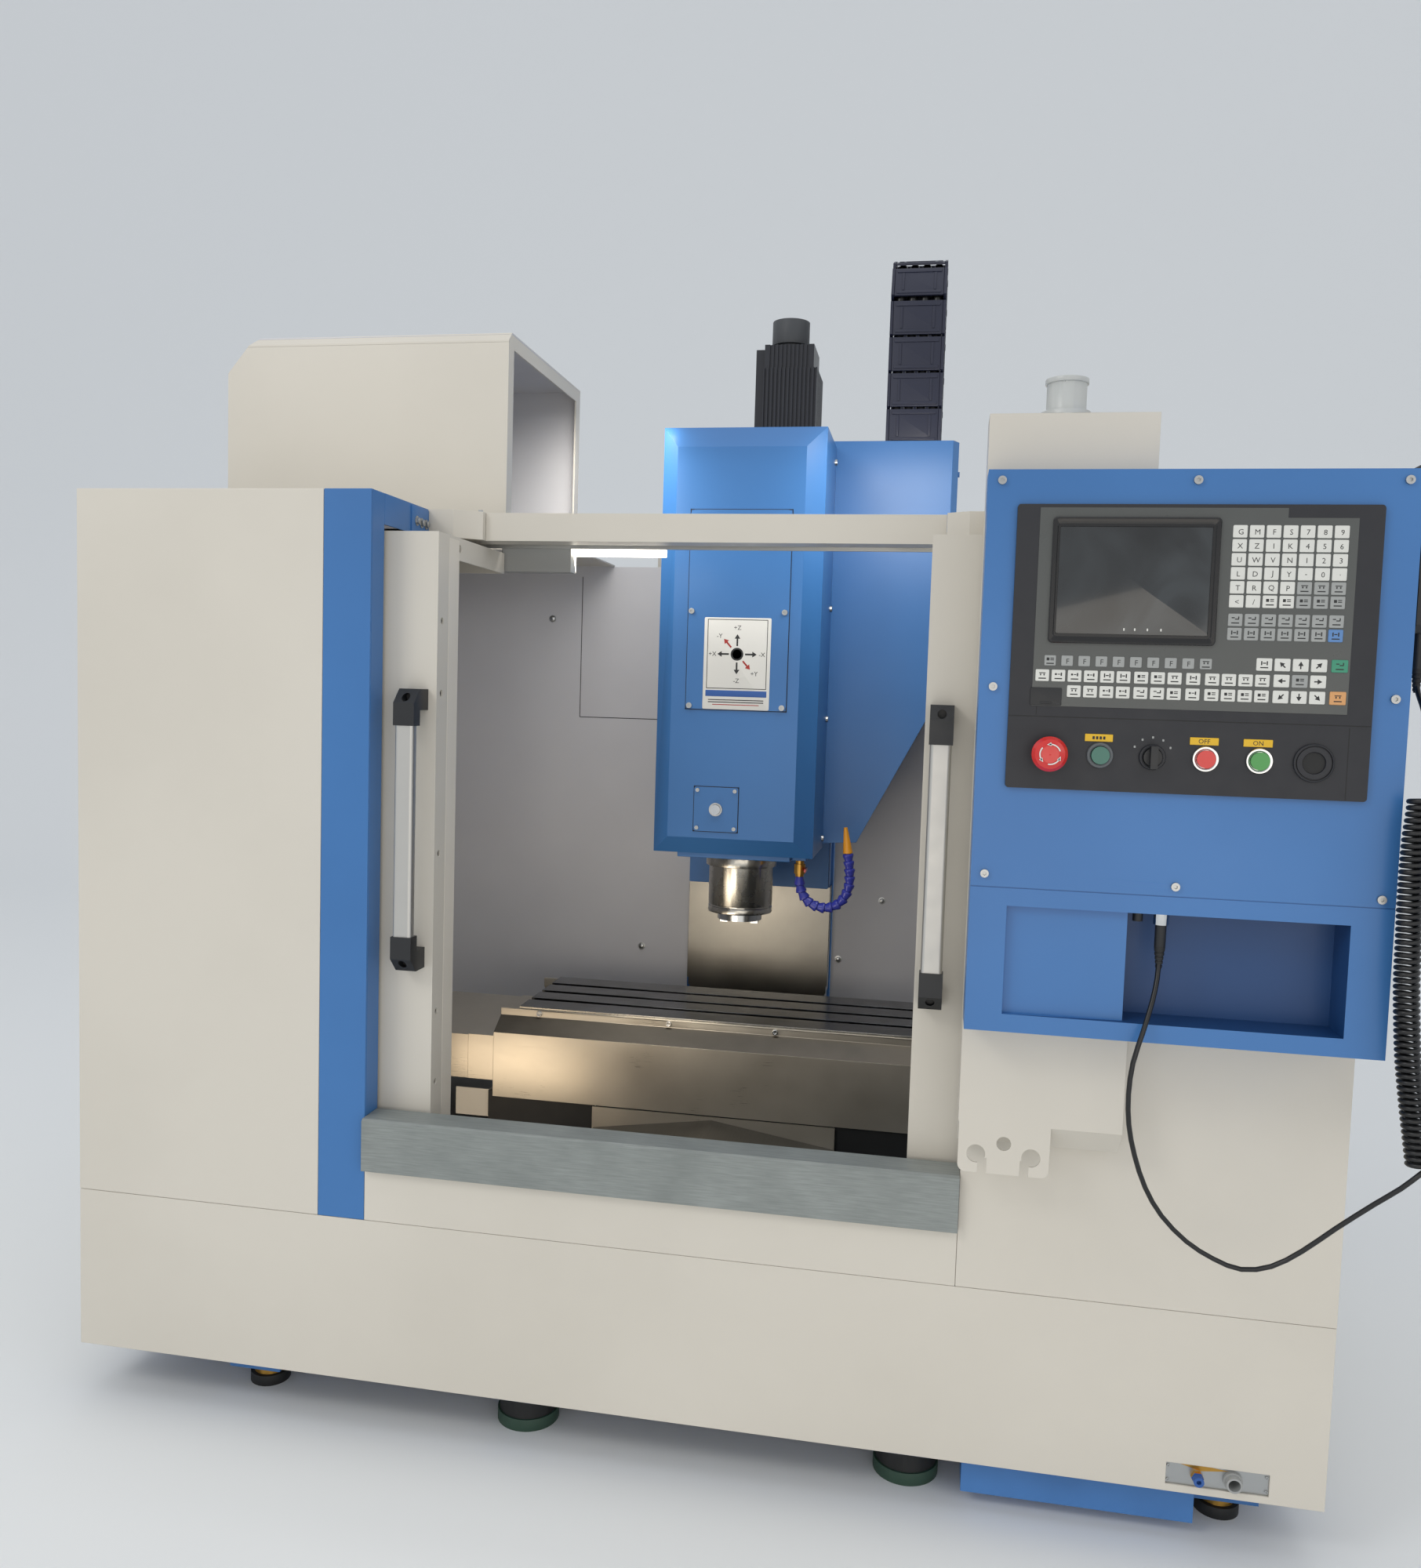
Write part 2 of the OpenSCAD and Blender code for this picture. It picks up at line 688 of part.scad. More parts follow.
// Linear guide rail with the waisted section of a real one, along Y, X or Z.
module rail_section(g = 0) {
    polygon([[-10 - g, -g], [10 + g, -g], [10 + g, 9 + g], [7.5 + g, 13], [10 + g, 17 - g], [10 + g, 24 + g],
        [8.5 + g, 25.5 + g], [-8.5 - g, 25.5 + g], [-10 - g, 24 + g], [-10 - g, 17 - g], [-7.5 - g, 13],
        [-10 - g, 9 + g]]);
}

module guide_rails() {
    color(steel) {
        for (s = [-1, 1]) translate([s * rail_x, 0, bed_top + 18])
            along_y(355, col_y - 54) rail_section();
        for (s = [-1, 1]) translate([s * 105, col_y, 0]) translate([0, 0, 400]) linear_extrude(col_top - 440)
            rotate(180) rail_section();
    }
}

// Block that rides on a rail; drawn round the rail's section with clearance.
module carriage_section(w) {
    difference() {
        polygon([[-w, 3], [w, 3], [w, 30], [w - 4, 34], [4 - w, 34], [-w, 30]]);
        rail_section(0.4);
    }
}

module y_bearings() {
    color("#55595c") difference() {
        bx(-32, 32, col_y - 70, col_y - 40, bed_top - 12, bed_top + 62);
        bar_y(0, col_y - 71, col_y - 39, y_screw_z, 10 + fit_gap);
    }
}

module y_screw() {
    color("#c9cccd") {
        bar_y(0, 330, col_y - 42, y_screw_z, 10);
        bar_y(0, 353, 366, y_screw_z, 15);
    }
}

module servo_y(x, y0, y1, z, h) {
    difference() {
        bx(x - h, x + h, y0, y1, z - h, z + h);
        for (i = [-1, 1], j = [-1, 1]) translate([x + i * h, (y0 + y1) / 2, z + j * h])
            rotate([90, 0, 0]) cylinder(r = 9, h = y1 - y0 - 12, center = true, $fn = 8);
    }
}

module y_motor() {
    color(black) {
        servo_y(0, 176, 320, y_screw_z, 38);
        bar_y(0, 300, 329, y_screw_z, 8);
    }
}

// Roof-shaped cover segment over the front of the bed, from y0 to y1; g steps it inwards.
module y_cover(y0, y1, g) {
    w = 212 - g;
    r = 356 - g;
    e = 324 - g;
    along_y(y0, y1)
        polygon([[-w, 290], [-w, e], [0, r], [w, e], [w, 290], [w - 2, 290], [w - 2, e - 1.7], [0, r - 2],
            [2 - w, e - 1.7], [2 - w, 290]]);
}

module y_cover_fixed() {
    color("#5b6064") y_cover(165, 340, 2 * step);
    color("#5b6064") bx(2 * step - 212, 212 - 2 * step, 163, 165, 290, 318);
}

module y_cover_mid() {
    color("#5f6468") y_cover(223, 398, step);
}

module y_cover_rear() {
    color("#63686c") y_cover(280, sad_y0 - 12, 0);
    color(steel) difference() {
        bx(-215, 215, sad_y0 - 12, sad_y0 - 9, 308, 361);
        bx(-40, 40, sad_y0 - 13, sad_y0 - 8, 291, 340);
    }
    color(steel) for (x = [-150, 130]) bx(x, x + 20, sad_y0 - 9, sad_y0, 320, 350);
}

// Saddle with its ledges for the cross rails

module saddle() {
    color(cast)
    difference() {
        union() {
            bx(-400, 400, sad_y0, sad_y1, sad_z0 + 30, sad_z1);
            bx(-200, 200, sad_y0, sad_y1, sad_z0, sad_z0 + 30);
            for (s = [-1, 1]) bx(s * 384 - 14, s * 384 + 14, tab_y - 26, tab_y + 26, sad_z1, x_screw_z + 26);
            bx(400, 412, tab_y - 36, tab_y + 36, x_screw_z - 38, x_screw_z + 36);
            bx(-30, 30, tab_y - 35, tab_y + 35, sad_z0 - 30, sad_z0);
        }
        bar_x(-420, 420, tab_y, x_screw_z, 10 + fit_gap);
        bar_y(0, tab_y - 40, tab_y + 40, y_screw_z, 10 + fit_gap);
        for (s = [-1, 1]) bx(s * 300 - 70, s * 300 + 70, sad_y0 + 40, sad_y1 - 40, sad_z0 + 29, sad_z1 - 22);
    }
}

module x_rails() {
    color(steel) for (s = [-1, 1]) translate([0, tab_y + s * 78, sad_z1])
        along_x(-368, 368) rail_section();
}

module y_carriages() {
    color("#8d9194") for (x = [-rail_x, rail_x], y = [tab_y - 95, tab_y + 35])
        translate([x, 0, bed_top + 18]) along_y(y, y + 60) carriage_section(23);
}

module x_screw() {
    color("#c9cccd") bar_x(-397, 404, tab_y, x_screw_z, 10);
}

module x_motor() {
    color(black) {
        rotate([0, 0, -90]) translate([-tab_y, 0, 0]) servo_y(0, 412, 530, x_screw_z, 34);
        bar_x(405, 413, tab_y, x_screw_z, 8);
    }
}

// Channel-shaped cover over the cross ways between x0 and x1; g steps it inwards.
module x_channel(x0, x1, g) {
    y0 = tab_y0 - 41 + 3 + g;
    y1 = tab_y0 + table_d + 17 - g;
    z1 = tab_bot - 5 - g;
    along_x(x0, x1)
        polygon([[y0, 391], [y0, z1], [y1, z1], [y1, 391], [y1 - 2, 391], [y1 - 2, z1 - 2],
            [y0 + 2, z1 - 2], [y0 + 2, 391]]);
}

module saddle_end_covers() {
    y0 = tab_y0 - 38 + seat_gap + step;
    y1 = tab_y0 + table_d + 17 - seat_gap - step;
    color("#b3b6b7")
    for (s = [-1, 1]) {
        x_channel(s > 0 ? 342 : -598, s > 0 ? 598 : -342, seat_gap + step);
        bx(s > 0 ? 598 : -600, s > 0 ? 600 : -598, y0, y1, 391, tab_bot - 5 - seat_gap - step);
        bx(s * 371 - 29, s * 371 + 29, y0, sad_y0, 380, 391);
        bx(s * 371 - 29, s * 371 + 29, sad_y1, y1, 380, 391);
    }
}

// Rubber curtains under the ends of the cross ways, with their brackets.
module saddle_curtain() {
    color("#2a2c2e") for (s = [-1, 1])
        bx(s * 312 - 99, s * 312 + 99, sad_y0 - 6, sad_y0 - 2, 308, 372);
    color("#c9c9c2") for (s = [-1, 1]) {
        bx(s * 312 - 100, s * 312 + 100, sad_y0 - 2, sad_y0, 344, 372);
        bx(s * 443 - 31, s * 443 + 31, sad_y0 - 2, sad_y0, 322, 372);
        bx(s * 406 - 6, s * 406 + 6, sad_y0, sad_y0 + 20, 344, 372);
    }
}

module x_cover_left() {
    color("#b9bcbd") x_channel(table_x0 - 468, table_x0 - 303, seat_gap);
}

module x_cover_right() {
    color("#b9bcbd") x_channel(table_x0 + 286, table_x0 + 451, seat_gap);
}

// Table with three T-slots, bosses for the carriages and the block of the nut.
module table() {
    color("#8e9394")
    difference() {
        union() {
            bx(table_x0 - table_l / 2, table_x0 + table_l / 2, tab_y0, tab_y0 + table_d, tab_bot, table_z);
            for (x = [-105, 105], s = [-1, 1])
                bx(table_x0 + x - 35, table_x0 + x + 35, tab_y + s * 78 - 26, tab_y + s * 78 + 26,
                    sad_z1 + 34, tab_bot);
            bx(table_x0 - 32, table_x0 + 32, tab_y - 30, tab_y + 30, sad_z1 + 3, tab_bot);
        }
        for (i = [-1 : 1]) {
            y = tab_y + i * slot_pitch;
            bx(-900, 900, y - slot_w / 2, y + slot_w / 2, table_z - 24, table_z + 1);
            bx(-900, 900, y - slot_w / 2 - 5, y + slot_w / 2 + 5, table_z - 25, table_z - 14);
        }
        bar_x(table_x0 - 40, table_x0 + 40, tab_y, x_screw_z, 10 + fit_gap);
    }
}

module x_carriages() {
    color("#8d9194") for (x = [-105, 105], s = [-1, 1])
        translate([0, tab_y + s * 78, sad_z1])
        along_x(table_x0 + x - 35, table_x0 + x + 35) carriage_section(23);
}

// Folded main covers in front of and behind the table.
module table_cover() {
    x0 = table_x0 - table_l / 2 - 34;
    x1 = table_x0 + table_l / 2 + 34;
    a = tab_y0;
    b = tab_y0 + table_d;
    z = table_z;
    color("#bfc2c2") {
        along_x(x0, x1)
            polygon([[a, z - 4], [a, z - 20], [a - 38, z - 43], [a - 38, z - 157], [a - 41, z - 157],
                [a - 41, z - 40], [a - 3, z - 17], [a - 3, z - 4]]);
        along_x(x0, x1)
            polygon([[b, z - 4], [b, z - 20], [b + 17, z - 43], [b + 17, z - 157], [b + 20, z - 157],
                [b + 20, z - 41], [b + 3, z - 19], [b + 3, z - 4]]);
    }
}

module table_cover_bolts() {
    color("#8f9294")
    for (x = [-346, -106, 85, 340]) screw_front(table_x0 + x, tab_y0 - 3, table_z - 10.5, 5);
}

// Column side

module column_bolts() {
    color("#5c6063")
    for (s = [-1, 1], y = [70, 140, 210]) screw_top(s * 195, col_y + y, bed_top + 60, 11);
}

module z_bearings() {
    color("#55595c") {
        difference() {
            bx(-30, 30, col_y - 34, col_y, 380, 415);
            bar_z(0, z_screw_y, 379, 416, 10 + fit_gap);
        }
        difference() {
            bx(-30, 30, col_y - 34, col_y, col_top - 40, col_top);
            bar_z(0, z_screw_y, col_top - 41, col_top + 1, 10 + fit_gap);
        }
        difference() {
            bx(-50, 50, col_y - 68, col_y + 60, col_top, col_top + 18);
            bar_z(0, z_screw_y, col_top - 1, col_top + 19, 18);
        }
    }
}

module z_screw() {
    color("#c9cccd") {
        bar_z(0, z_screw_y, 385, col_top + 6, 10);
        bar_z(0, z_screw_y, col_top + 0.5, col_top + 14, 16);
    }
}

module z_motor() {
    color(black)
    difference() {
        union() {
            bx(-40, 40, z_screw_y - 40, z_screw_y + 40, col_top + 18, col_top + 150);
            bx(-30, 30, z_screw_y - 30, z_screw_y + 30, col_top + 150, col_top + 172);
            bx(-18, 18, z_screw_y + 40, z_screw_y + 62, col_top + 60, col_top + 100);
        }
        for (i = [-1, 1], j = [-1, 1]) translate([i * 40, z_screw_y + j * 40, col_top + 30])
            cylinder(r = 8, h = 112, $fn = 8);
    }
}

// One segment of the cover over the column's ways; g steps it inwards.
module z_segment(z0, z1, g, y1) {
    w = 150 - g;
    y0 = col_y - 70 + g;
    translate([0, 0, z0]) linear_extrude(z1 - z0)
        polygon([[-w, y1], [-w, y0], [w, y0], [w, y1], [w - 2, y1], [w - 2, y0 + 2],
            [2 - w, y0 + 2], [2 - w, y1]]);
}

module z_cover_top() {
    color("#b4b7b8") z_segment(z_seg, head_bot - 96, 0, col_y - 34);
}

module z_cover_upper() {
    color("#b4b7b8") z_segment(z_seg - 50 / 3, z_seg - 50 / 3 + 200, step, col_y - 8);
}

module z_cover_lower() {
    color("#b4b7b8") z_segment(z_seg - 100 / 3, z_seg - 100 / 3 + 200, 2 * step, col_y - 8);
}

module z_cover_fixed() {
    color("#a5a8a9") z_segment(330, z_seg + 150, 3 * step, col_y);
}

// Head

module head_casting() {
    color("#4c82c2")
    difference() {
        union() {
            along_x(-105, 105)
                polygon([[cov_y + 44, head_bot], [cov_y + 44, head_bot + 534], [cov_y + 102, head_bot + 684],
                    [slide_y, head_bot + 684], [slide_y, head_bot]]);
            bx(-147, 147, slide_y, col_y - 34, head_bot - 96, head_bot + 304);
            for (s = [-1, 1], z = [60, 600])
                bx(s * 124.5 - 19.5, s * 124.5 + 19.5, spindle_y - 15, spindle_y + 25, head_bot + z,
                    head_bot + z + 30);
            bx(105, 132, spindle_y - 74, spindle_y - 34, head_bot, head_bot + 16);
            bx(-40, -25, 800, slide_y, head_bot + 684, head_bot + 759);
            bx(105, 120, 800, slide_y, head_bot + 640, head_bot + 759);
            bx(-40, 125, 796, slide_y, head_bot + 759, head_bot + 779);
        }
        bar_z(0, spindle_y, head_bot - 1, head_bot + 700, bore_r + seat_gap);
        bx(-85, 85, spindle_y + 66, slide_y - 20, head_bot + 30, head_bot + 660);
        bar_z(mot_x, mot_y, head_bot + 750, head_bot + 790, 22);
    }
}

module spindle_housing() {
    color("#c3c6c7")
    difference() {
        union() {
            bar_z(0, spindle_y, head_bot - 22, head_bot, housing_d / 2 + 6);
            bar_z(0, spindle_y, nose_z + 30, head_bot - 22, housing_d / 2);
            bar_z(0, spindle_y, nose_z + 26, nose_z + 30, housing_d / 2 - 2);
            bar_z(0, spindle_y, nose_z + 15, nose_z + 26, housing_d / 2);
            bar_z(0, spindle_y, head_bot, head_bot + 690, bore_r);
        }
        bar_z(0, spindle_y, nose_z, head_bot + 700, 26 + fit_gap);
    }
}

// Rotating spindle with its taper and two drive keys.
module spindle_shaft() {
    color("#d2d4d4")
    difference() {
        union() {
            bar_z(0, spindle_y, nose_z, nose_z + 14, 42);
            bar_z(0, spindle_y, nose_z + 14, head_bot + 700, 26);
            bar_z(0, spindle_y, head_bot + 700, head_bot + 752, 16);
            for (s = [-1, 1]) bx(s * 29 - 7, s * 29 + 7, spindle_y - 8, spindle_y + 8, nose_z - 7, nose_z);
        }
        translate([0, spindle_y, nose_z - 1]) cylinder(r1 = 16.1, r2 = 8.9, h = 49);
        bar_z(0, spindle_y, nose_z + 40, nose_z + 90, 6.5);
    }
}

// Finned motor on the head's rear, with its fan cap.
module spindle_motor() {
    z = head_bot + 779;
    color(black)
    difference() {
        union() {
            bx(mot_x - 52, mot_x + 52, mot_y - 59, mot_y + 59, z, z + 157);
            bx(mot_x - 52, mot_x + 44, mot_y - 50, mot_y + 50, z + 157, z + 203);
            bx(mot_x - 71, mot_x - 52, mot_y - 32, mot_y + 38, z + 5, z + 198);
        }
        for (i = [-6 : 6]) {
            for (y = [mot_y - 60, mot_y + 55])
                bx(mot_x + i * 8 - 2, mot_x + i * 8 + 2, y, y + 5, z + 8, z + 158);
            bx(mot_x + 48, mot_x + 53, mot_y + i * 8 - 2, mot_y + i * 8 + 2, z + 8, z + 158);
        }
        for (i = [-5 : 4]) bx(mot_x + i * 8 - 2, mot_x + i * 8 + 2, mot_y - 51, mot_y - 47, z + 157, z + 204);
        bar_z(mot_x, mot_y, z - 1, z + 30, 14);
    }
    color("#4a4d50") difference() {
        union() {
            bar_z(mot_x - 8, mot_y, z + 203, z + 212, 28);
            bar_z(mot_x - 8, mot_y, z + 211, z + 257, 36.5);
        }
        for (a = [0 : 30 : 330]) translate([mot_x - 8, mot_y, z + 254]) rotate(a)
            translate([10, -1.5, 0]) cube([20, 3, 4]);
    }
}

// Folded front cover of the head with its bevelled edges.
module head_shape(t) {
    h = head_w / 2;
    intersection() {
        translate([0, 0, head_bot - 10]) linear_extrude(head_top - head_bot + 30)
            polygon([[t - h, wing_y], [t - h, cov_y + 32 + t * 0.4], [t - h + 32 - t * 0.6, cov_y + t],
                [h - t - 32 + t * 0.6, cov_y + t], [h - t, cov_y + 32 + t * 0.4], [h - t, wing_y]]);
        along_x(-h, h)
            polygon([[wing_y, head_bot + 10 - t * 4], [cov_y + 32 + t * 0.4, head_bot + 10 - t * 4],
                [cov_y + 32 + t * 0.4, head_bot + 10], [cov_y + t, head_bot + 42],
                [cov_y + t, head_top - 40 - t * 0.5], [cov_y + 32 + t * 0.4, head_top - t],
                [wing_y, head_top - t]]);
    }
}

module head_cover() {
    color(blue)
    difference() {
        head_shape(0);
        difference() {
            translate([0, 0.5, 0]) head_shape(3);
            bx(-200, 200, cov_y - 1, cov_y + 29, head_bot - 20, head_bot + 12);
        }
        bx(3 - head_w / 2, head_w / 2 - 3, wing_y - 2, wing_y + 1, head_bot - 20, head_top - 3);
    }
}

module access_plate() {
    color(blue) plate_y(3, head_bot + 450.5, 181, 353, cov_y - 2, cov_y, 8);
}

module release_plate() {
    color(blue)
    difference() {
        plate_y(-27, head_bot + 94.5, 80, 80, cov_y - 2, cov_y, 4);
        bar_y(-27, cov_y - 3, cov_y + 1, head_bot + 94.5, 9 + seat_gap);
    }
    color("#c4c7c9") difference() {
        bar_y(-27, cov_y - 5, cov_y - 2, head_bot + 94.5, 12);
        bar_y(-27, cov_y - 6, cov_y, head_bot + 94.5, 9 + seat_gap);
    }
}

module release_button() {
    color("#d5d7d7") bar_y(-27, cov_y - 10, cov_y - 3.5, head_bot + 94.5, 9);
}

// Side cover right of the head; it carries the cable chain.
module head_side_cover() {
    x1 = 365;
    color(blue) {
        along_y(wing_y, wing_y + 3)
            polygon([[105, head_bot + 16], [212, head_bot + 22], [x1, head_bot + 321], [x1, head_top + 13],
                [105, head_top + 13]]);
        translate([0, 0, head_bot + 321]) linear_extrude(head_top + 13 - head_bot - 321)
            polygon([[x1, wing_y], [x1 + 11, wing_y + 20], [x1 + 11, wing_y + 70], [x1 + 8, wing_y + 70],
                [x1 + 8, wing_y + 21], [x1, wing_y + 6]]);
        bx(226, 358, wing_y + 3, wing_y + 62, head_top + 7, head_top + 13);
    }
}

module z_carriages() {
    color("#8d9194") for (s = [-1, 1], z = [head_bot - 76, head_bot + 204])
        translate([s * 105, col_y, z]) linear_extrude(80) rotate(180) carriage_section(23);
}

module z_nut() {
    color("#8d9194")
    difference() {
        bx(-28, 28, col_y - 34, col_y - 3, head_bot + 60, head_bot + 130);
        bar_z(0, z_screw_y, head_bot + 59, head_bot + 131, 10 + fit_gap);
    }
}

// Coolant valve, its lever, the jointed hose and the nozzle
module coolant_valve() {
    color("#c58a3a")
    difference() {
        union() {
            bar_z(hose_x, hose_y, head_bot - 31, head_bot, 8);
            bar_z(hose_x, hose_y, head_bot - 26, head_bot - 8, 10.5);
        }
        bar_x(hose_x + 4, hose_x + 12, hose_y, head_bot - 17, 3 + fit_gap);
    }
}

module coolant_lever() {
    color("#b3302a") {
        bar_x(hose_x + 5, hose_x + 14, hose_y, head_bot - 17, 3);
        bx(hose_x + 11, hose_x + 14, hose_y - 26, hose_y + 4, head_bot - 20, head_bot - 14);
    }
}

module between(p, q, r1, r2) {
    v = q - p;
    translate(p) rotate([0, atan2(norm([v[0], v[1]]), v[2]), atan2(v[1], v[0])])
        cylinder(r1 = r1, r2 = r2, h = norm(v), $fn = 16);
}

module coolant_hose() {
    color("#3a3f9c")
    translate([0, hose_y, head_bot]) {
        for (i = [0 : len(hose_pts) - 2]) between(hose_pts[i], hose_pts[i + 1], 5.2, 8);
        for (i = [1 : len(hose_pts) - 1]) translate(hose_pts[i]) sphere(r = 6.6, $fn = 20);
    }
}

module coolant_nozzle() {
    color("#e2902a")
    translate([0, hose_y, head_bot]) difference() {
        between([206, 0, 17], [200, 0, 64], 9, 3.5);
        between([205.2, 0, 24], [199.8, 0, 66], 4, 2);
    }
}

// Cable chain: closed links along a path that rises from the head, turns over and falls to its anchor.

module chain_link(h) {
    difference() {
        along_x(-52.5, 52.5)
            polygon([[-20, 3 - h], [-20, h - 3], [-12, h], [0, h], [10, h - 4.5], [20, h - 9.3],
                [20, 9.3 - h], [10, 4.5 - h], [0, -h], [-12, -h]]);
        bx(-46.5, 46.5, -15, 15, -40, 40);
        bx(-40, 40, -21, -18.5, 1 - h, 5 - h);
        for (x = [-53.5, 51.5]) bar_x(x, x + 2, 0, h - 9, 6);
    }
}

// Point (Y, Z) on the chain's path at the length s from its lower front end.
function chain_at(s) = s <= chain_up ? [chain_y, chain_z0 + s]
    : s >= chain_up + PI * chain_r ? [chain_y + 2 * chain_r, chain_zc - (s - chain_up - PI * chain_r)]
    : let (a = (s - chain_up) / chain_r * 180 / PI)
        [chain_y + chain_r - chain_r * cos(a), chain_zc + chain_r * sin(a)];

module cable_chain() {
    color(black)
    for (k = [0 : chain_n - 1])
        let (p = chain_at(k * chain_len / chain_n), q = chain_at((k + 1) * chain_len / chain_n),
            m = (p + q) / 2)
        translate([288.5, m[0], m[1]]) rotate([-atan2(q[0] - p[0], q[1] - p[1]), 0, 0])
        chain_link(norm(q - p) / 2 - seat_gap / 2);
}

module chain_anchor() {
    color(steel) bx(226, 358, chain_y + 2 * chain_r - 24, cab_d + sheet, wall_z, chain_end);
}

// Sliding doors: folded leaf with a deep top box that reaches back under the header.
module door_leaf(x0, x1, edge) {
    z0 = door_z0;
    z1 = door_z1;
    y0 = door_y;
    y1 = door_y + door_t;
    difference() {
        union() {
            bx(x0, x1, y0, y0 + sheet, z0, z1);
            bx(x0, x0 + sheet, y0, y1, z0, z1 - 30);
            bx(x1 - sheet, x1, y0, y1, z0, z1 - 30);
            bx(x0, x1, y0, y1, z0, z0 + sheet);
            difference() {
                bx(x0, x1, y0, y0 + top_d, z1 - 33, z1);
                bx(x0 + sheet, x1 - sheet, y0 + sheet, y0 + top_d - sheet, z1 - 34, z1 - sheet);
            }
        }
        for (z = [1190, 1086, 852, 618, 512]) bar_x(edge - 5, edge + 5, door_y + 17, z, 5);
        bar_x(edge - 5, edge + 5, door_y + 80, z1 - 16, 6);
    }
}

module door_glides(x0, x1) {
    for (x = [x0 + 60, x1 - 120]) {
        bx(x, x + 60, 83, 95, beam_z + 3, door_z0);
        difference() {
            bx(x, x + 60, 290, 314, door_z1, cab_h - 23);
            bx(x - 1, x + 61, 300 - run_gap, 304 + run_gap, cab_h - 46 - run_gap, cab_h);
        }
    }
}

// Angled bracket at one end of a handle, with the hole for its screw; s = 1 is the upper one.
module handle_bracket(x, z, s) {
    difference() {
        along_x(x - 15.5, x + 15.5)
            polygon([[door_y, z + s * 52], [20, z + s * 52], [0, z + s * 32], [0, z], [22, z],
                [22, z + s * 22], [door_y, z + s * 22]]);
        bar_y(x, -1, 24, z + s * 40, 6);
    }
}

// Flat bar with round edges between two brackets.
module door_handle(x) {
    color("#c9cccc") translate([x, 10, 738]) linear_extrude(301) rrect(28, 16, 5);
    color(black) {
        handle_bracket(x, 1039, 1);
        handle_bracket(x, 738, -1);
    }
}

module left_door() {
    color(cream) door_leaf(door_lx - door_w, door_lx, door_lx);
}

module left_door_glides() {
    color("#e6e6df") door_glides(door_lx - door_w, door_lx);
}

module left_door_handle() {
    door_handle(door_lx - 28);
}

module right_door() {
    color(cream) door_leaf(door_rx, door_rx + door_w, door_rx);
}

module right_door_glides() {
    color("#e6e6df") door_glides(door_rx, door_rx + door_w);
}

module right_door_handle() {
    door_handle(door_rx + 22);
}

// Electrical cabinet behind the column

module cabinet_mounts() {
    color("#6d7378") for (z = [ec_z0 + 120, ec_z1 - 120])
        bx(-140, 140, col_y + col_t + (col_top - z) * 0.0385, ec_y, z, z + 40);
}

module electrical_cabinet() {
    color(cream)
    difference() {
        union() {
            bx(-ec_w / 2, ec_w / 2, ec_y, ec_y + sheet, ec_z0, ec_z1);
            for (s = [-1, 1]) bx(s * (ec_w - sheet) / 2 - sheet / 2, s * (ec_w - sheet) / 2 + sheet / 2,
                ec_y + sheet + seat_gap, ec_y + ec_d, ec_z0, ec_z1);
            for (z = [ec_z0, ec_z1 - sheet])
                bx(sheet + seat_gap - ec_w / 2, ec_w / 2 - sheet - seat_gap, ec_y + sheet + seat_gap,
                    ec_y + ec_d, z, z + sheet);
        }
        bar_x(ec_w / 2 - 5, ec_w / 2 + 1, ec_y + 100, 1200, 8 + fit_gap);
    }
}

module mounting_plate() {
    color(steel) bx(-290, 290, ec_y + sheet + seat_gap, ec_y + sheet + 4, ec_z0 + 60, ec_z1 - 60);
}

module drive_units() {
    y = ec_y + sheet + 4 + seat_gap;
    color("#3c4146") for (i = [0 : 3]) bx(-270 + i * 78, -206 + i * 78, y, y + 150, 1090, 1320);
    color("#dcdcd6") for (i = [0 : 8]) bx(-250 + i * 40, -216 + i * 40, y, y + 75, 900, 980);
    color("#8c6b3f") bx(-250, -110, y, y + 110, 470, 600);
    color("#c8c8c0") for (z = [860, 1020]) bx(-280, 280, y, y + 50, z, z + 30);
}

module cabinet_door() {
    color(cream)
    difference() {
        union() {
            bx(-ec_w / 2, ec_w / 2, ec_y + ec_d + seat_gap, ec_y + ec_d + seat_gap + 3, ec_z0, ec_z1);
            for (z = [ec_z0 + 120, ec_z1 - 180])
                bar_z(-ec_w / 2 - 7, ec_y + ec_d + 4, z, z + 60, 6);
            for (z = [ec_z0 + 120, ec_z1 - 180])
                bx(-ec_w / 2 - 7, -ec_w / 2, ec_y + ec_d + seat_gap, ec_y + ec_d + seat_gap + 3, z, z + 60);
        }
        for (z = [0 : 9]) bx(60, 260, ec_y + ec_d - 1, ec_y + ec_d + 5, 450 + z * 14, 456 + z * 14);
        for (z = [ec_z0 + 119, ec_z1 - 181])
            bar_z(-ec_w / 2 - 7, ec_y + ec_d + 4, z, z + 62, 3 + fit_gap);
    }
    color(black) bx(262, 282, ec_y + ec_d + 3.3, ec_y + ec_d + 18, 860, 960);
}

module door_hinge_pins() {
    color(steel) for (z = [ec_z0 + 120, ec_z1 - 180]) {
        bar_z(-ec_w / 2 - 7, ec_y + ec_d + 4, z - 12, z + 72, 3);
        for (e = [z - 12, z + 60 + seat_gap]) {
            bx(-ec_w / 2 - 10, -ec_w / 2, ec_y + ec_d - 22, ec_y + ec_d - 1, e, e + 12 - seat_gap);
            bx(-ec_w / 2 - 10, -ec_w / 2 - 3.5, ec_y + ec_d - 2, ec_y + ec_d + 7, e, e + 12 - seat_gap);
        }
    }
}

module main_switch() {
    x = ec_w / 2;
    color("#c8201c") {
        bar_x(x - 3, x + 8, ec_y + 100, 1200, 8);
        bar_x(x + 4, x + 10, ec_y + 100, 1200, 24);
        bx(x + 10, x + 28, ec_y + 94, ec_y + 106, 1178, 1222);
    }
}

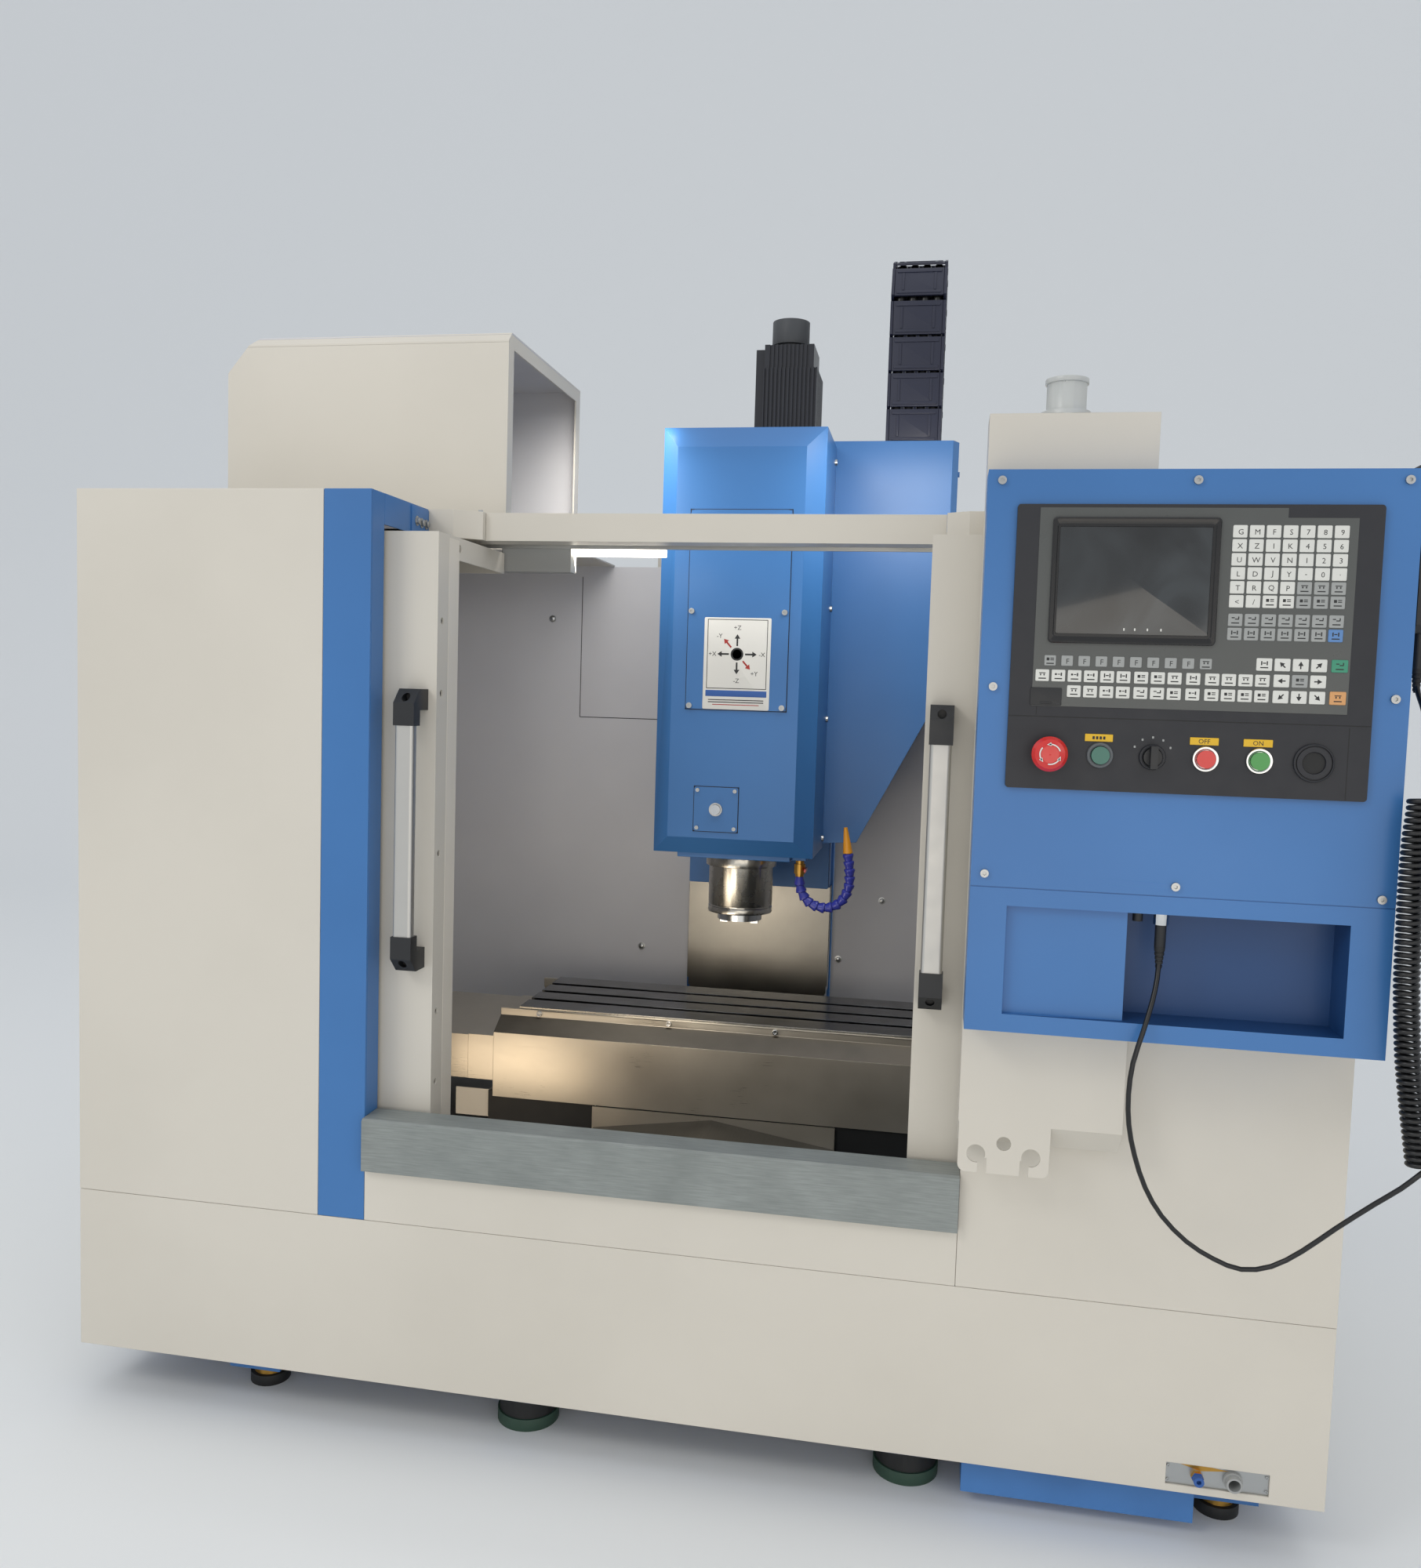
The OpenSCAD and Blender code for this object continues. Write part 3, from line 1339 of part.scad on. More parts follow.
module switch_plate() {
    x = ec_w / 2;
    color("#e6c229") difference() {
        bx(x, x + 3, ec_y + 65, ec_y + 135, 1165, 1235);
        bar_x(x - 1, x + 4, ec_y + 100, 1200, 8 + fit_gap);
    }
}

// Coolant tank and its pump at the back, lubricator on the left side

module coolant_tank() {
    color("#6d7378") {
        bx(-830, -330, cab_d + sheet, cab_d + 333, 110, 330);
        bx(-834, -326, cab_d + sheet, cab_d + 337, 330, 333);
        for (x = [-800, -400], y = [40, 290]) bx(x, x + 40, cab_d + y, cab_d + y + 30, 0, 110);
    }
}

module coolant_pump() {
    y = cab_d + 170;
    color("#3c6ea8") {
        bar_z(-700, y, 333, 341, 80);
        bar_z(-700, y, 341, 480, 58);
        bx(-660, -612, y - 30, y + 30, 390, 450);
    }
    color(black) bar_z(-700, y, 480, 510, 60);
}

module lubricator() {
    x = -hw;
    color("#e8e8e2") bx(x - 60, x - 2, 640, 760, 760, 880);
    color("#d8c9a0") bx(x - 56, x - 8, 646, 754, 680, 760);
    color(black) bar_z(x - 31, 700, 880, 915, 20);
    color(steel) bx(x - 2, x, 630, 770, 700, 900);
}

// Screws of the enclosure and the covers

module box_screws() {
    color("#b9bcbd")
    for (p = [[16, 658], [235, 658], [459, 658], [16, 416], [459, 414], [16, 192], [235, 188], [459, 186]])
        screw_front(box_x0 + p[0], -box_t, box_z0 + p[1], 5);
}

module fitting_screws() {
    color("#b9bcbd") for (x = [hw - 192, hw - 71], z = [15, 34]) screw_front(x, sheet, skirt_z + z, 2.2);
}

module head_screws() {
    color("#b9bcbd") {
        for (x = [-81, 86], z = [280, 448]) screw_front(x, cov_y - 2, head_bot + z, 5);
        for (x = [-61, 7], z = [60.5, 128.5]) screw_front(x, cov_y - 2, head_bot + z, 3.5);
        for (z = [30, 260, 470, 745]) bar_x(head_w / 2, head_w / 2 + 4, wing_y - 25, head_bot + z, 6);
        bar_x(376, 379, wing_y + 32, head_bot + 732, 5);
        for (x = [-60, 60]) screw_top(x, wing_y - 60, head_top, 5);
    }
}

module roof_screws() {
    color("#b9bcbd") {
        screw_top(open_l + 70, 235, cab_h, 4);
        screw_top(open_r - 30, 235, cab_h, 4);
    }
}

// Nodes: each is one sub-part, or a group of pieces that stay together.

module front_panels() {
    front_skirt();
    sill_apron();
    left_front_panel();
    right_front_panel();
}

module side_back_panels() {
    side_panels();
    back_panels();
    chain_anchor();
}

module roof_and_header() {
    header_beam();
    roof_sheets();
    roof_screws();
}

module door_rails() {
    front_beam();
    door_tracks();
}

module lamp() {
    work_lamp();
    lamp_duct();
}

module box_pillar() {
    pillar();
    hook_plate();
    beacon();
}

module control_housing() {
    control_box();
    cord_connector();
    box_screws();
}

module cnc_panel() {
    cnc_unit();
    display_screen();
}

module keys_and_bezels() {
    keypad_keys();
    button_bezels();
    panel_blank();
}

module pendant_cord() {
    cord_lead();
    cord_coil();
    cord_tail();
}

module pendant() {
    pendant_hook();
    pendant_body();
}

module skirt_fittings() {
    fitting_plate();
    air_fitting();
    drain_pipe();
    fitting_screws();
}

module machine_feet() {
    levelling_feet();
    base_outriggers();
}

module column() {
    column_casting();
    column_bolts();
    cabinet_mounts();
}

module frame_rails() {
    guide_rails();
}

module axis_motors() {
    y_bearings();
    y_motor();
    z_bearings();
    z_motor();
}

module fixed_way_covers() {
    y_cover_fixed();
    z_cover_fixed();
}

module electrics() {
    electrical_cabinet();
    mounting_plate();
    drive_units();
    door_hinge_pins();
    switch_plate();
}

module coolant_unit() {
    coolant_tank();
    coolant_pump();
}

module saddle_slide() {
    saddle();
    x_rails();
    y_carriages();
    x_motor();
}

module saddle_covers() {
    saddle_end_covers();
    saddle_curtain();
    y_cover_rear();
}

module table_slide() {
    table();
    x_carriages();
}

module table_covers() {
    table_cover();
    table_cover_bolts();
}

module head_slide() {
    head_casting();
    z_carriages();
    z_nut();
}

module head_front_cover() {
    head_cover();
    access_plate();
    release_plate();
    head_screws();
}

module coolant_line() {
    coolant_valve();
    coolant_hose();
    coolant_nozzle();
}

module door_left() {
    left_door();
    left_door_glides();
    left_door_handle();
}

module door_right() {
    right_door();
    right_door_glides();
    right_door_handle();
}

module place() {
    translate([0, -mid_y, 0]) children();
}

place() front_panels();
place() blue_post();
place() side_back_panels();
place() roof_and_header();
place() door_sill();
place() hood();
place() chip_pan();
place() door_rails();
place() lamp();
place() box_pillar();
place() control_housing();
place() cnc_panel();
place() keys_and_bezels();
place() pendant_cord();
place() pendant();
place() skirt_fittings();
place() bed_casting();
place() machine_feet();
place() column();
place() frame_rails();
place() axis_motors();
place() fixed_way_covers();
place() electrics();
place() coolant_unit();
place() lubricator();
place() door_left();
place() door_right();
place() saddle_slide();
place() saddle_covers();
place() table_slide();
place() table_covers();
place() x_cover_left();
place() x_cover_right();
place() y_cover_mid();
place() x_screw();
place() y_screw();
place() z_screw();
place() head_slide();
place() head_front_cover();
place() head_side_cover();
place() spindle_housing();
place() spindle_motor();
place() coolant_line();
place() cable_chain();
place() z_cover_top();
place() z_cover_upper();
place() z_cover_lower();
place() spindle_shaft();
place() estop_button();
place() teal_button();
place() red_button();
place() green_button();
place() selector_knob();
place() release_button();
place() coolant_lever();
place() pendant_wheel();
place() axis_knob();
place() step_knob();
place() cabinet_door();
place() main_switch();
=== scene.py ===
"""Looks of a small vertical machining centre, dressed around its packed construction model.

Sizes are in millimetres in the machine's own coordinates: X from its middle, Y from the
enclosure's front plane, Z from the floor. to_frame() brings them to metres in the model's frame.
"""
import math

import bpy
import numpy as np
from mathutils import Euler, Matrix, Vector


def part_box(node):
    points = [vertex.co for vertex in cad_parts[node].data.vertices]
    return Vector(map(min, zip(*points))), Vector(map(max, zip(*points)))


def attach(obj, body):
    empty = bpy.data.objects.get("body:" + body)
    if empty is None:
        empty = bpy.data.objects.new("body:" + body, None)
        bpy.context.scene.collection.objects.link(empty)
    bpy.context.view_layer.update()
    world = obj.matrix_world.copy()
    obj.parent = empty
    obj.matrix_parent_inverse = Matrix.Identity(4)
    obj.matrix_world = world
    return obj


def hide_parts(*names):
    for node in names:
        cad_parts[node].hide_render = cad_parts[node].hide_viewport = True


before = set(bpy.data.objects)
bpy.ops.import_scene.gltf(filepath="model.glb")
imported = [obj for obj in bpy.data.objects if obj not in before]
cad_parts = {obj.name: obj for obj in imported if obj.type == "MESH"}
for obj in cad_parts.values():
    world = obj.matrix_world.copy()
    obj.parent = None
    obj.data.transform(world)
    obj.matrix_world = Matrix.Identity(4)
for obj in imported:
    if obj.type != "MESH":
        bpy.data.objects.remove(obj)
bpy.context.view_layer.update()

FRONT = 692.0  # the model's origin lies this far behind the enclosure's front plane
X, Y, Z = np.eye(3)


def to_frame(points):
    """Machine millimetres to metres in the model's frame."""
    return (np.asarray(points, float) - (0, FRONT, 0)) * 0.001


def low(node):
    """Lowest corner of a construction node, in machine millimetres."""
    return np.array(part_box(node)[0]) * 1000 + (0, FRONT, 0)


def high(node):
    """Highest corner of a construction node, in machine millimetres."""
    return np.array(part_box(node)[1]) * 1000 + (0, FRONT, 0)


# Camera

CAMERA_PLACE = (366.4, -1654.8, 1093.2)
CAMERA_TURN = 10.36  # degrees, to the left
CAMERA_DOWN = 4.0
CAMERA_ROLL = 1.74
CAMERA_LENS = 28.8


def make_camera():
    """Camera where the photo was taken from."""
    data = bpy.data.cameras.new("camera")
    data.lens = CAMERA_LENS
    data.sensor_width = 36.0
    camera = bpy.data.objects.new("camera", data)
    turn = Euler((math.radians(90 - CAMERA_DOWN), 0, math.radians(CAMERA_TURN))).to_matrix()
    roll = Euler((0, 0, math.radians(CAMERA_ROLL))).to_matrix()
    camera.matrix_world = (turn @ roll).to_4x4()
    camera.location = to_frame(CAMERA_PLACE)
    bpy.context.scene.collection.objects.link(camera)
    bpy.context.scene.camera = camera


make_camera()


# Surfaces: each is (points, faces) in machine millimetres


def grid_faces(rows, columns, wrap):
    """Quads between neighbouring rows of a grid of points; wrap closes each row on itself."""
    i = np.arange(rows - 1)[:, None]
    j = np.arange(columns if wrap else columns - 1)[None, :]
    k = (j + 1) % columns
    a, b = i * columns + j, i * columns + k
    return np.stack([a, b, b + columns, a + columns], -1).reshape(-1, 4).tolist()


def lofted(rings):
    """Closed rings of equally many points, joined by quads, with a flat end on both end rings."""
    rings = np.asarray(rings, float)
    rows, columns = rings.shape[:2]
    faces = grid_faces(rows, columns, True)
    faces.append(list(range(columns))[::-1])
    faces.append([(rows - 1) * columns + c for c in range(columns)])
    return rings.reshape(-1, 3), faces


def round_outline(width, height, radius, steps=5):
    """Rectangle round 0, 0 with a quarter circle in each corner, counter-clockwise."""
    turn = np.linspace(0, math.pi / 2, steps)
    corners = []
    for quarter, (sx, sy) in enumerate(((1, 1), (-1, 1), (-1, -1), (1, -1))):
        angle = turn + quarter * math.pi / 2
        middle = (sx * (width / 2 - radius), sy * (height / 2 - radius))
        corners.append(np.stack([np.cos(angle), np.sin(angle)], -1) * radius + middle)
    return np.concatenate(corners)


def set_at(flat, origin, right, up):
    """Local (across, upwards, outwards) to machine coordinates; outwards is right x up."""
    right, up = np.asarray(right, float), np.asarray(up, float)
    flat = np.asarray(flat, float)
    return np.asarray(origin, float) + flat[..., :1] * right + flat[..., 1:2] * up \
        + flat[..., 2:3] * np.cross(right, up)


def slab(origin, width, height, thick, radius=1.0, edge=0.4, right=X, up=Z, steps=5):
    """Plate with round corners whose front edge is rounded over: the outline is drawn in by
    edge * (1 - cos a) while it rises to the thickness by edge * sin a."""
    rings = []
    for a in (None, 0, 30, 60, 90):
        draw_in = 0 if a is None else edge * (1 - math.cos(math.radians(a)))
        rise = 0 if a is None else thick - edge + edge * math.sin(math.radians(a))
        ring = round_outline(width - 2 * draw_in, height - 2 * draw_in,
                             max(radius - draw_in, 0.05), steps)
        rings.append(np.column_stack([ring, np.full(len(ring), rise)]))
    points, faces = lofted(rings)
    return set_at(points, origin, right, up), faces


def turned(profile, origin, axis=-Y, sides=40):
    """Profile of (radius, height) pairs turned once round the axis; a radius of 0 closes a pole."""
    axis = np.asarray(axis, float)
    side = np.cross(axis, X if abs(axis[0]) < 0.9 else Y)
    side /= np.linalg.norm(side)
    angle = np.linspace(0, 2 * math.pi, sides, endpoint=False)
    spoke = np.cos(angle)[:, None] * side + np.sin(angle)[:, None] * np.cross(axis, side)
    rings = [np.asarray(origin, float) + max(r, 0.02) * spoke + h * axis for r, h in profile]
    return lofted(rings)


def swept(path, radius, sides=10):
    """Round tube along a path: each ring stands square to the path's mean direction there, turned
    as little as possible from the ring before."""
    path = np.asarray(path, float)
    along = np.gradient(path, axis=0)
    along /= np.linalg.norm(along, axis=1)[:, None]
    angle = np.linspace(0, 2 * math.pi, sides, endpoint=False)
    side = np.cross(along[0], Y if abs(along[0][1]) < 0.9 else X)
    rings = []
    for point, d in zip(path, along):
        side = side - d * (side @ d)
        side /= np.linalg.norm(side)
        rings.append(point + radius * (np.cos(angle)[:, None] * side
                                       + np.sin(angle)[:, None] * np.cross(d, side)))
    return lofted(rings)


def extruded(outline, origin, thick, right=X, up=Z):
    """Flat outline, counter-clockwise, given thickness outwards."""
    outline = np.asarray(outline, float)
    rings = [np.column_stack([outline, np.full(len(outline), w)]) for w in (0, thick)]
    points, faces = lofted(rings)
    return set_at(points, origin, right, up), faces


def smooth_path(points, per=2):
    """Curve through the points by the Catmull-Rom rule, with per steps between two of them."""
    p = np.asarray(points, float)
    p = np.vstack([2 * p[0] - p[1], p, 2 * p[-1] - p[-2]])
    t = np.linspace(0, 1, per, endpoint=False)[:, None]
    out = []
    for a, b, c, d in zip(p[:-3], p[1:-2], p[2:-1], p[3:]):
        out.append(0.5 * (2 * b + (c - a) * t + (2 * a - 5 * b + 4 * c - d) * t ** 2
                          + (3 * b - a - 3 * c + d) * t ** 3))
    return np.vstack([*out, p[-2]])


def arc_band(radius, width, start, end, steps=14):
    """Outline of a band along a circle, from one angle to another in degrees."""
    a = np.radians(np.linspace(start, end, steps))
    spoke = np.column_stack([np.cos(a), np.sin(a)])
    return np.vstack([spoke * (radius - width / 2), spoke[::-1] * (radius + width / 2)])[::-1]


def arrow(length, width, head):
    """Outline of a straight arrow along +across, counter-clockwise, from its middle."""
    h, w = length / 2, width / 2
    return np.array([(-h, -w), (h - head, -w), (h - head, -w - head * 0.45), (h, 0),
                     (h - head, w + head * 0.45), (h - head, w), (-h, w)])


def turned_flat(outline, degrees):
    """Outline turned about 0, 0, counter-clockwise."""
    a = math.radians(degrees)
    return outline @ np.array([[math.cos(a), math.sin(a)], [-math.sin(a), math.cos(a)]])


def round_from(middle, radius, degrees):
    """Point on an upright circle seen from the front, counted from its right side upwards."""
    a = math.radians(degrees)
    return middle + (radius * math.cos(a), 0, radius * math.sin(a))


# Legends

CAP_HEIGHT = 0.72  # a capital's height in the font, per unit of size
INK_LIFT = 0.06


def lettering(text, origin, size):
    """Characters printed on a face to the front, as a flat mesh a hair above it, centred there."""
    curve = bpy.data.curves.new("glyph", "FONT")
    curve.body = text
    curve.fill_mode = "FRONT"
    curve.resolution_u = 2
    holder = bpy.data.objects.new("glyph", curve)
    mesh = bpy.data.meshes.new_from_object(holder)
    flat = np.zeros(len(mesh.vertices) * 3, np.float32)
    mesh.vertices.foreach_get("co", flat)
    faces = [list(p.vertices) for p in mesh.polygons]
    bpy.data.objects.remove(holder)
    bpy.data.curves.remove(curve)
    bpy.data.meshes.remove(mesh)
    flat = flat.reshape(-1, 3)[:, :2].astype(float)
    flat = (flat - (flat.min(0) + flat.max(0)) / 2) * size / CAP_HEIGHT
    return set_at(np.column_stack([flat, np.full(len(flat), INK_LIFT)]), origin, X, Z), faces


# Pieces


def piece(name, body, layers, smooth=False):
    """Makes one piece from layers of (material, [surfaces]) and lets it ride on a body."""
    points, faces, slots = [], [], []
    start = 0
    mesh = bpy.data.meshes.new(name)
    for number, (material, surfaces) in enumerate(layers):
        mesh.materials.append(material)
        for surface_points, surface_faces in surfaces:
            points.append(surface_points)
            faces += [[v + start for v in face] for face in surface_faces]
            slots += [number] * len(surface_faces)
            start += len(surface_points)
    mesh.from_pydata(to_frame(np.vstack(points)), [], faces)
    mesh.polygons.foreach_set("material_index", slots)
    mesh.update()
    made = bpy.data.objects.new(name, mesh)
    bpy.context.scene.collection.objects.link(made)
    if smooth:
        mesh.shade_smooth()
        mesh.set_sharp_from_angle(angle=math.radians(smooth))
    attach(made, body)
    return made


def bolt(origin, radius, axis=-Y):
    """Hexagon head on a washer, as two turned surfaces; the head has six sides."""
    washer = [(radius * 1.5, 0), (radius * 1.5, radius * 0.2), (radius, radius * 0.26)]
    head = [(radius * 1.08, radius * 0.22), (radius * 1.08, radius * 0.85), (radius * 0.86, radius)]
    return [turned(washer, origin, axis, 28), turned(head, origin, axis, 6)]


def paint(node, material, regions):
    """Gives a construction node its finish. Faces whose middle lies in a region's box, given as
    (material, (x0, x1, y0, y1, z0, z1)), take that region's material instead."""
    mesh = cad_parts[node].data
    mesh.materials.clear()
    mesh.materials.append(material)
    slots = np.zeros(len(mesh.polygons), np.int32)
    centres = np.zeros(len(mesh.polygons) * 3, np.float32)
    mesh.polygons.foreach_get("center", centres)
    centres = centres.reshape(-1, 3) * 1000 + (0, FRONT, 0)
    for number, (finish, box) in enumerate(regions, 1):
        mesh.materials.append(finish)
        lo, hi = np.array(box[0::2]), np.array(box[1::2])
        slots[((centres > lo) & (centres < hi)).all(1)] = number
    mesh.polygons.foreach_set("material_index", slots)
    mesh.update()


def round_edges(node, width):
    """Rounds a construction node's edges, as a bend, a casting or a mould leaves them."""
    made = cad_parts[node]
    weld = made.modifiers.new("weld", "WELD")
    weld.merge_threshold = 0.00002
    bevel = made.modifiers.new("edges", "BEVEL")
    bevel.width = width * 0.001
    bevel.segments = 2
    bevel.limit_method = "ANGLE"
    bevel.angle_limit = math.radians(50)
    bevel.use_clamp_overlap = True
    bevel.harden_normals = True


# Materials


def to_linear(colour):
    """sRGB hex such as '#d9d5c7' to linear red, green, blue and 1."""
    c = np.array([int(colour[i:i + 2], 16) for i in (1, 3, 5)]) / 255
    return (*np.where(c <= 0.04045, c / 12.92, ((c + 0.055) / 1.055) ** 2.4), 1.0)


def add(tree, kind, values=None, links=None, **settings):
    """Adds a node, with settings for its properties, values for its inputs and links to them
    from (node, output)."""
    made = tree.nodes.new(kind)
    for name, value in settings.items():
        setattr(made, name, value)
    for name, value in (values or {}).items():
        made.inputs[name].default_value = value
    for name, (source, output) in (links or {}).items():
        tree.links.new(source.outputs[output], made.inputs[name])
    return made


def start_material(name, colour, roughness, metallic=0.0, **more):
    """A named material with its shader's constant values; returns (material, tree, shader)."""
    material = bpy.data.materials.new(name)
    material.use_nodes = True
    tree = material.node_tree
    shader = tree.nodes["Principled BSDF"]
    shader.inputs["Base Color"].default_value = to_linear(colour)
    shader.inputs["Roughness"].default_value = roughness
    shader.inputs["Metallic"].default_value = metallic
    for key, value in more.items():
        shader.inputs[key.replace("_", " ")].default_value = value
    return material, tree, shader


def noise_at(tree, size, detail, stretch=(1, 1, 1), distortion=0.0):
    """Noise in object coordinates whose features are size millimetres wide; a stretch below 1
    draws them out along that axis. Returns what a link starts from."""
    place = add(tree, "ShaderNodeTexCoord")
    turn = add(tree, "ShaderNodeMapping", {"Scale": stretch}, {"Vector": (place, "Object")})
    return add(tree, "ShaderNodeTexNoise",
               {"Scale": 1000.0 / size, "Detail": detail, "Distortion": distortion},
               {"Vector": (turn, "Vector")}), "Fac"


def tinted(tree, shader, source, stops):
    """Base colour from a pattern; stops are the (position, hex colour) of its two ends."""
    ramp = add(tree, "ShaderNodeValToRGB", links={"Fac": source})
    for element, (at, colour) in zip(ramp.color_ramp.elements, stops):
        element.position = at
        element.color = to_linear(colour)
    tree.links.new(ramp.outputs["Color"], shader.inputs["Base Color"])


def embossed(tree, shader, source, height, strength, socket="Normal"):
    """Relief from a pattern, with its height in millimetres."""
    bump = add(tree, "ShaderNodeBump", {"Strength": strength, "Distance": height * 0.001},
               {"Height": source})
    tree.links.new(bump.outputs["Normal"], shader.inputs[socket])


def clouded(tree, shader, colours, size, contrast=(0.35, 0.65)):
    """Lets the base colour drift between two hex colours in soft patches of that size."""
    tinted(tree, shader, noise_at(tree, size, 4.0), zip(contrast, colours))


def rough_patches(tree, shader, low_rough, high_rough, size, stretch=(1, 1, 1)):
    """Lets the roughness drift between two values in patches of that size."""
    spread = add(tree, "ShaderNodeMapRange", {"To Min": low_rough, "To Max": high_rough},
                 {"Value": noise_at(tree, size, 5.0, stretch)})
    tree.links.new(spread.outputs["Result"], shader.inputs["Roughness"])


def dimpled(tree, shader, size, height, strength, stretch=(1, 1, 1)):
    """Fine bumps of that size and height in millimetres."""
    embossed(tree, shader, noise_at(tree, size, 2.0, stretch), height, strength)


def powder_coat(name, colour, shade, roughness=0.38):
    """Polyester powder coat on sheet steel: an even satin skin with orange peel, which is drawn
    3 mm wide so that it shows, and a faint drift of tone over the sheet."""
    material, tree, shader = start_material(name, colour, roughness, IOR=1.5)
    clouded(tree, shader, (shade, colour), 420)
    rough_patches(tree, shader, roughness - 0.06, roughness + 0.08, 160)
    dimpled(tree, shader, 3.0, 0.05, 0.35)
    return material


def worn_sill_paint():
    """Grey enamel on the door sill, dulled by hands, with fine scratches along the sill."""
    material, tree, shader = start_material("worn_enamel_grey", "#8c918f", 0.42, IOR=1.5)
    both = add(tree, "ShaderNodeMath", links={0: noise_at(tree, 2.2, 3.0, (0.06, 1, 1)),
                                              1: noise_at(tree, 90, 6.0)}, operation="MULTIPLY")
    tinted(tree, shader, (both, "Value"), ((0.10, "#7a807e"), (0.36, "#8f9593")))
    rough_patches(tree, shader, 0.3, 0.6, 60, (0.1, 1, 1))
    dimpled(tree, shader, 2.0, 0.04, 0.3, (0.1, 1, 1))
    return material


def brushed_steel(name, colour, shade, roughness, stretch, smudge=140, metallic=1.0):
    """Stainless sheet brushed in one direction: streaks 0.8 mm wide drawn out along it, and
    cloudy smudges of coolant and fingers. A film of dried coolant lowers the metallic part."""
    material, tree, shader = start_material(name, colour, roughness, metallic, Anisotropic=0.35)
    clouded(tree, shader, (shade, colour), smudge, (0.3, 0.7))
    streak = noise_at(tree, 0.8, 3.0, stretch)
    mixed = add(tree, "ShaderNodeMath", {1: 0.5}, {0: streak, 2: noise_at(tree, smudge, 5.0)},
                operation="MULTIPLY_ADD")
    spread = add(tree, "ShaderNodeMapRange",
                 {"From Min": 0.4, "From Max": 1.1, "To Min": roughness - 0.09,
                  "To Max": roughness + 0.14}, {"Value": (mixed, "Value")})
    tree.links.new(spread.outputs["Result"], shader.inputs["Roughness"])
    embossed(tree, shader, streak, 0.04, 0.15)
    return material


def machined(name, colour, roughness, ring=0.0):
    """Machined metal: fine cutting marks, and slight stains. ring > 0 draws lathe rings."""
    material, tree, shader = start_material(name, colour, roughness, 1.0)
    rough_patches(tree, shader, roughness - 0.07, roughness + 0.12, 30)
    if ring:
        dimpled(tree, shader, ring, 0.02, 0.5, (0.02, 0.02, 1))
    else:
        dimpled(tree, shader, 1.2, 0.02, 0.3)
    return material


def ground_table():
    """Ground cast iron of the table top under a film of oil: dark, glossy, with fine grinding
    lines along X."""
    material, tree, shader = start_material("ground_cast_iron_oiled", "#55585a", 0.2, 1.0,
                                            Coat_Weight=0.25, Coat_Roughness=0.12)
    clouded(tree, shader, ("#434648", "#62656a"), 70)
    rough_patches(tree, shader, 0.14, 0.34, 4, (0.05, 1, 1))
    dimpled(tree, shader, 1.0, 0.02, 0.35, (0.03, 1, 1))
    return material


def cast_paint(name, colour, shade):
    """Machine enamel brushed over a filled casting: soft unevenness 8 mm wide."""
    material, tree, shader = start_material(name, colour, 0.45, IOR=1.5)
    clouded(tree, shader, (shade, colour), 120)
    dimpled(tree, shader, 8.0, 0.25, 0.5)
    return material


def moulded(name, colour, roughness, grain=0.9, height=0.03, **more):
    """Moulded plastic or rubber with the fine spark grain of its tool."""
    material, tree, shader = start_material(name, colour, roughness, **more)
    rough_patches(tree, shader, max(roughness - 0.08, 0.02), roughness + 0.1, 25)
    dimpled(tree, shader, grain, height, 0.4)
    return material


def screen_glass():
    """Display behind its protective film: a dark grey panel under gloss, with slack ripples."""
    material, tree, shader = start_material("lcd_glass_filmed", "#24282b", 0.12, IOR=1.5,
                                            Coat_Weight=0.5, Coat_Roughness=0.05)
    ripples = noise_at(tree, 90, 2.0, distortion=1.2)
    tinted(tree, shader, ripples, ((0.35, "#15181a"), (0.7, "#33383b")))
    embossed(tree, shader, ripples, 0.6, 0.25, "Coat Normal")
    return material


def lamp_lens():
    """Opal diffuser of the work lamp, which is lit."""
    return start_material("opal_acrylic_lit", "#f4f2ea", 0.4, Emission_Color=to_linear("#fff6e4"),
                          Emission_Strength=5.0)[0]


CREAM = powder_coat("powder_coat_cream", "#d6d1c6", "#d0cbc0")
# Paler cream for the band on each door's closing face: painted highlight standing in for the lit
# lip at the door's rear edge
LIP_HIGHLIGHT_CREAM = powder_coat("powder_coat_cream_painted_highlight", "#e3ddd1", "#dfd9cd")
INNER_GREY = powder_coat("powder_coat_pale_grey", "#d0d0d3", "#c7c7cb", 0.42)
BLUE = powder_coat("powder_coat_blue", "#3d75b3", "#386eaa", 0.34)
# The deep pocket under the control in a darker blue: painted shade for the depth of the pocket,
# where little light gets in
POCKET_SHADE_BLUE = powder_coat("powder_coat_blue_painted_shade", "#1b467a", "#183f70", 0.42)
MOTOR_ENAMEL = powder_coat("motor_enamel_black", "#23262f", "#1f222a", 0.36)
SILL_PAINT = worn_sill_paint()
DUCT_GREY = powder_coat("powder_coat_mid_grey", "#9b9c9a", "#8f908e")
DARK_GREY = powder_coat("powder_coat_dark_grey", "#5d6266", "#54595d", 0.45)
STAINLESS = brushed_steel("brushed_stainless", "#c2bcb0", "#b0a99c", 0.32, (0.02, 1, 1), 140, 0.7)
# Darker copy of the brushed stainless for the sloping top of the table covers: painted shade
STAINLESS_TOP_SHADE = brushed_steel("brushed_stainless_painted_shade", "#6c675f", "#5a564f", 0.42,
                                (0.02, 1, 1), 90)
STAINLESS_UPRIGHT = brushed_steel("brushed_stainless_upright", "#a9a59c", "#928e86", 0.33,
                                  (1, 1, 0.02))
SPRING_STEEL = brushed_steel("cover_steel_dark", "#6f6e6a", "#5a5956", 0.36, (1, 0.02, 1))
SPINDLE_STEEL = machined("turned_steel", "#bdbab2", 0.24, ring=1.5)
GROUND_STEEL = machined("ground_steel", "#c4c6c7", 0.18)
ZINC = machined("zinc_plated_steel", "#b4b6b6", 0.32)
BRASS = machined("turned_brass", "#c2964a", 0.28)
TABLE_IRON = ground_table()
CAST_GREY = cast_paint("cast_iron_enamel_grey", "#50555a", "#464b50")
CAST_BLUE = cast_paint("cast_iron_enamel_blue", "#457bbb", "#3f72af")
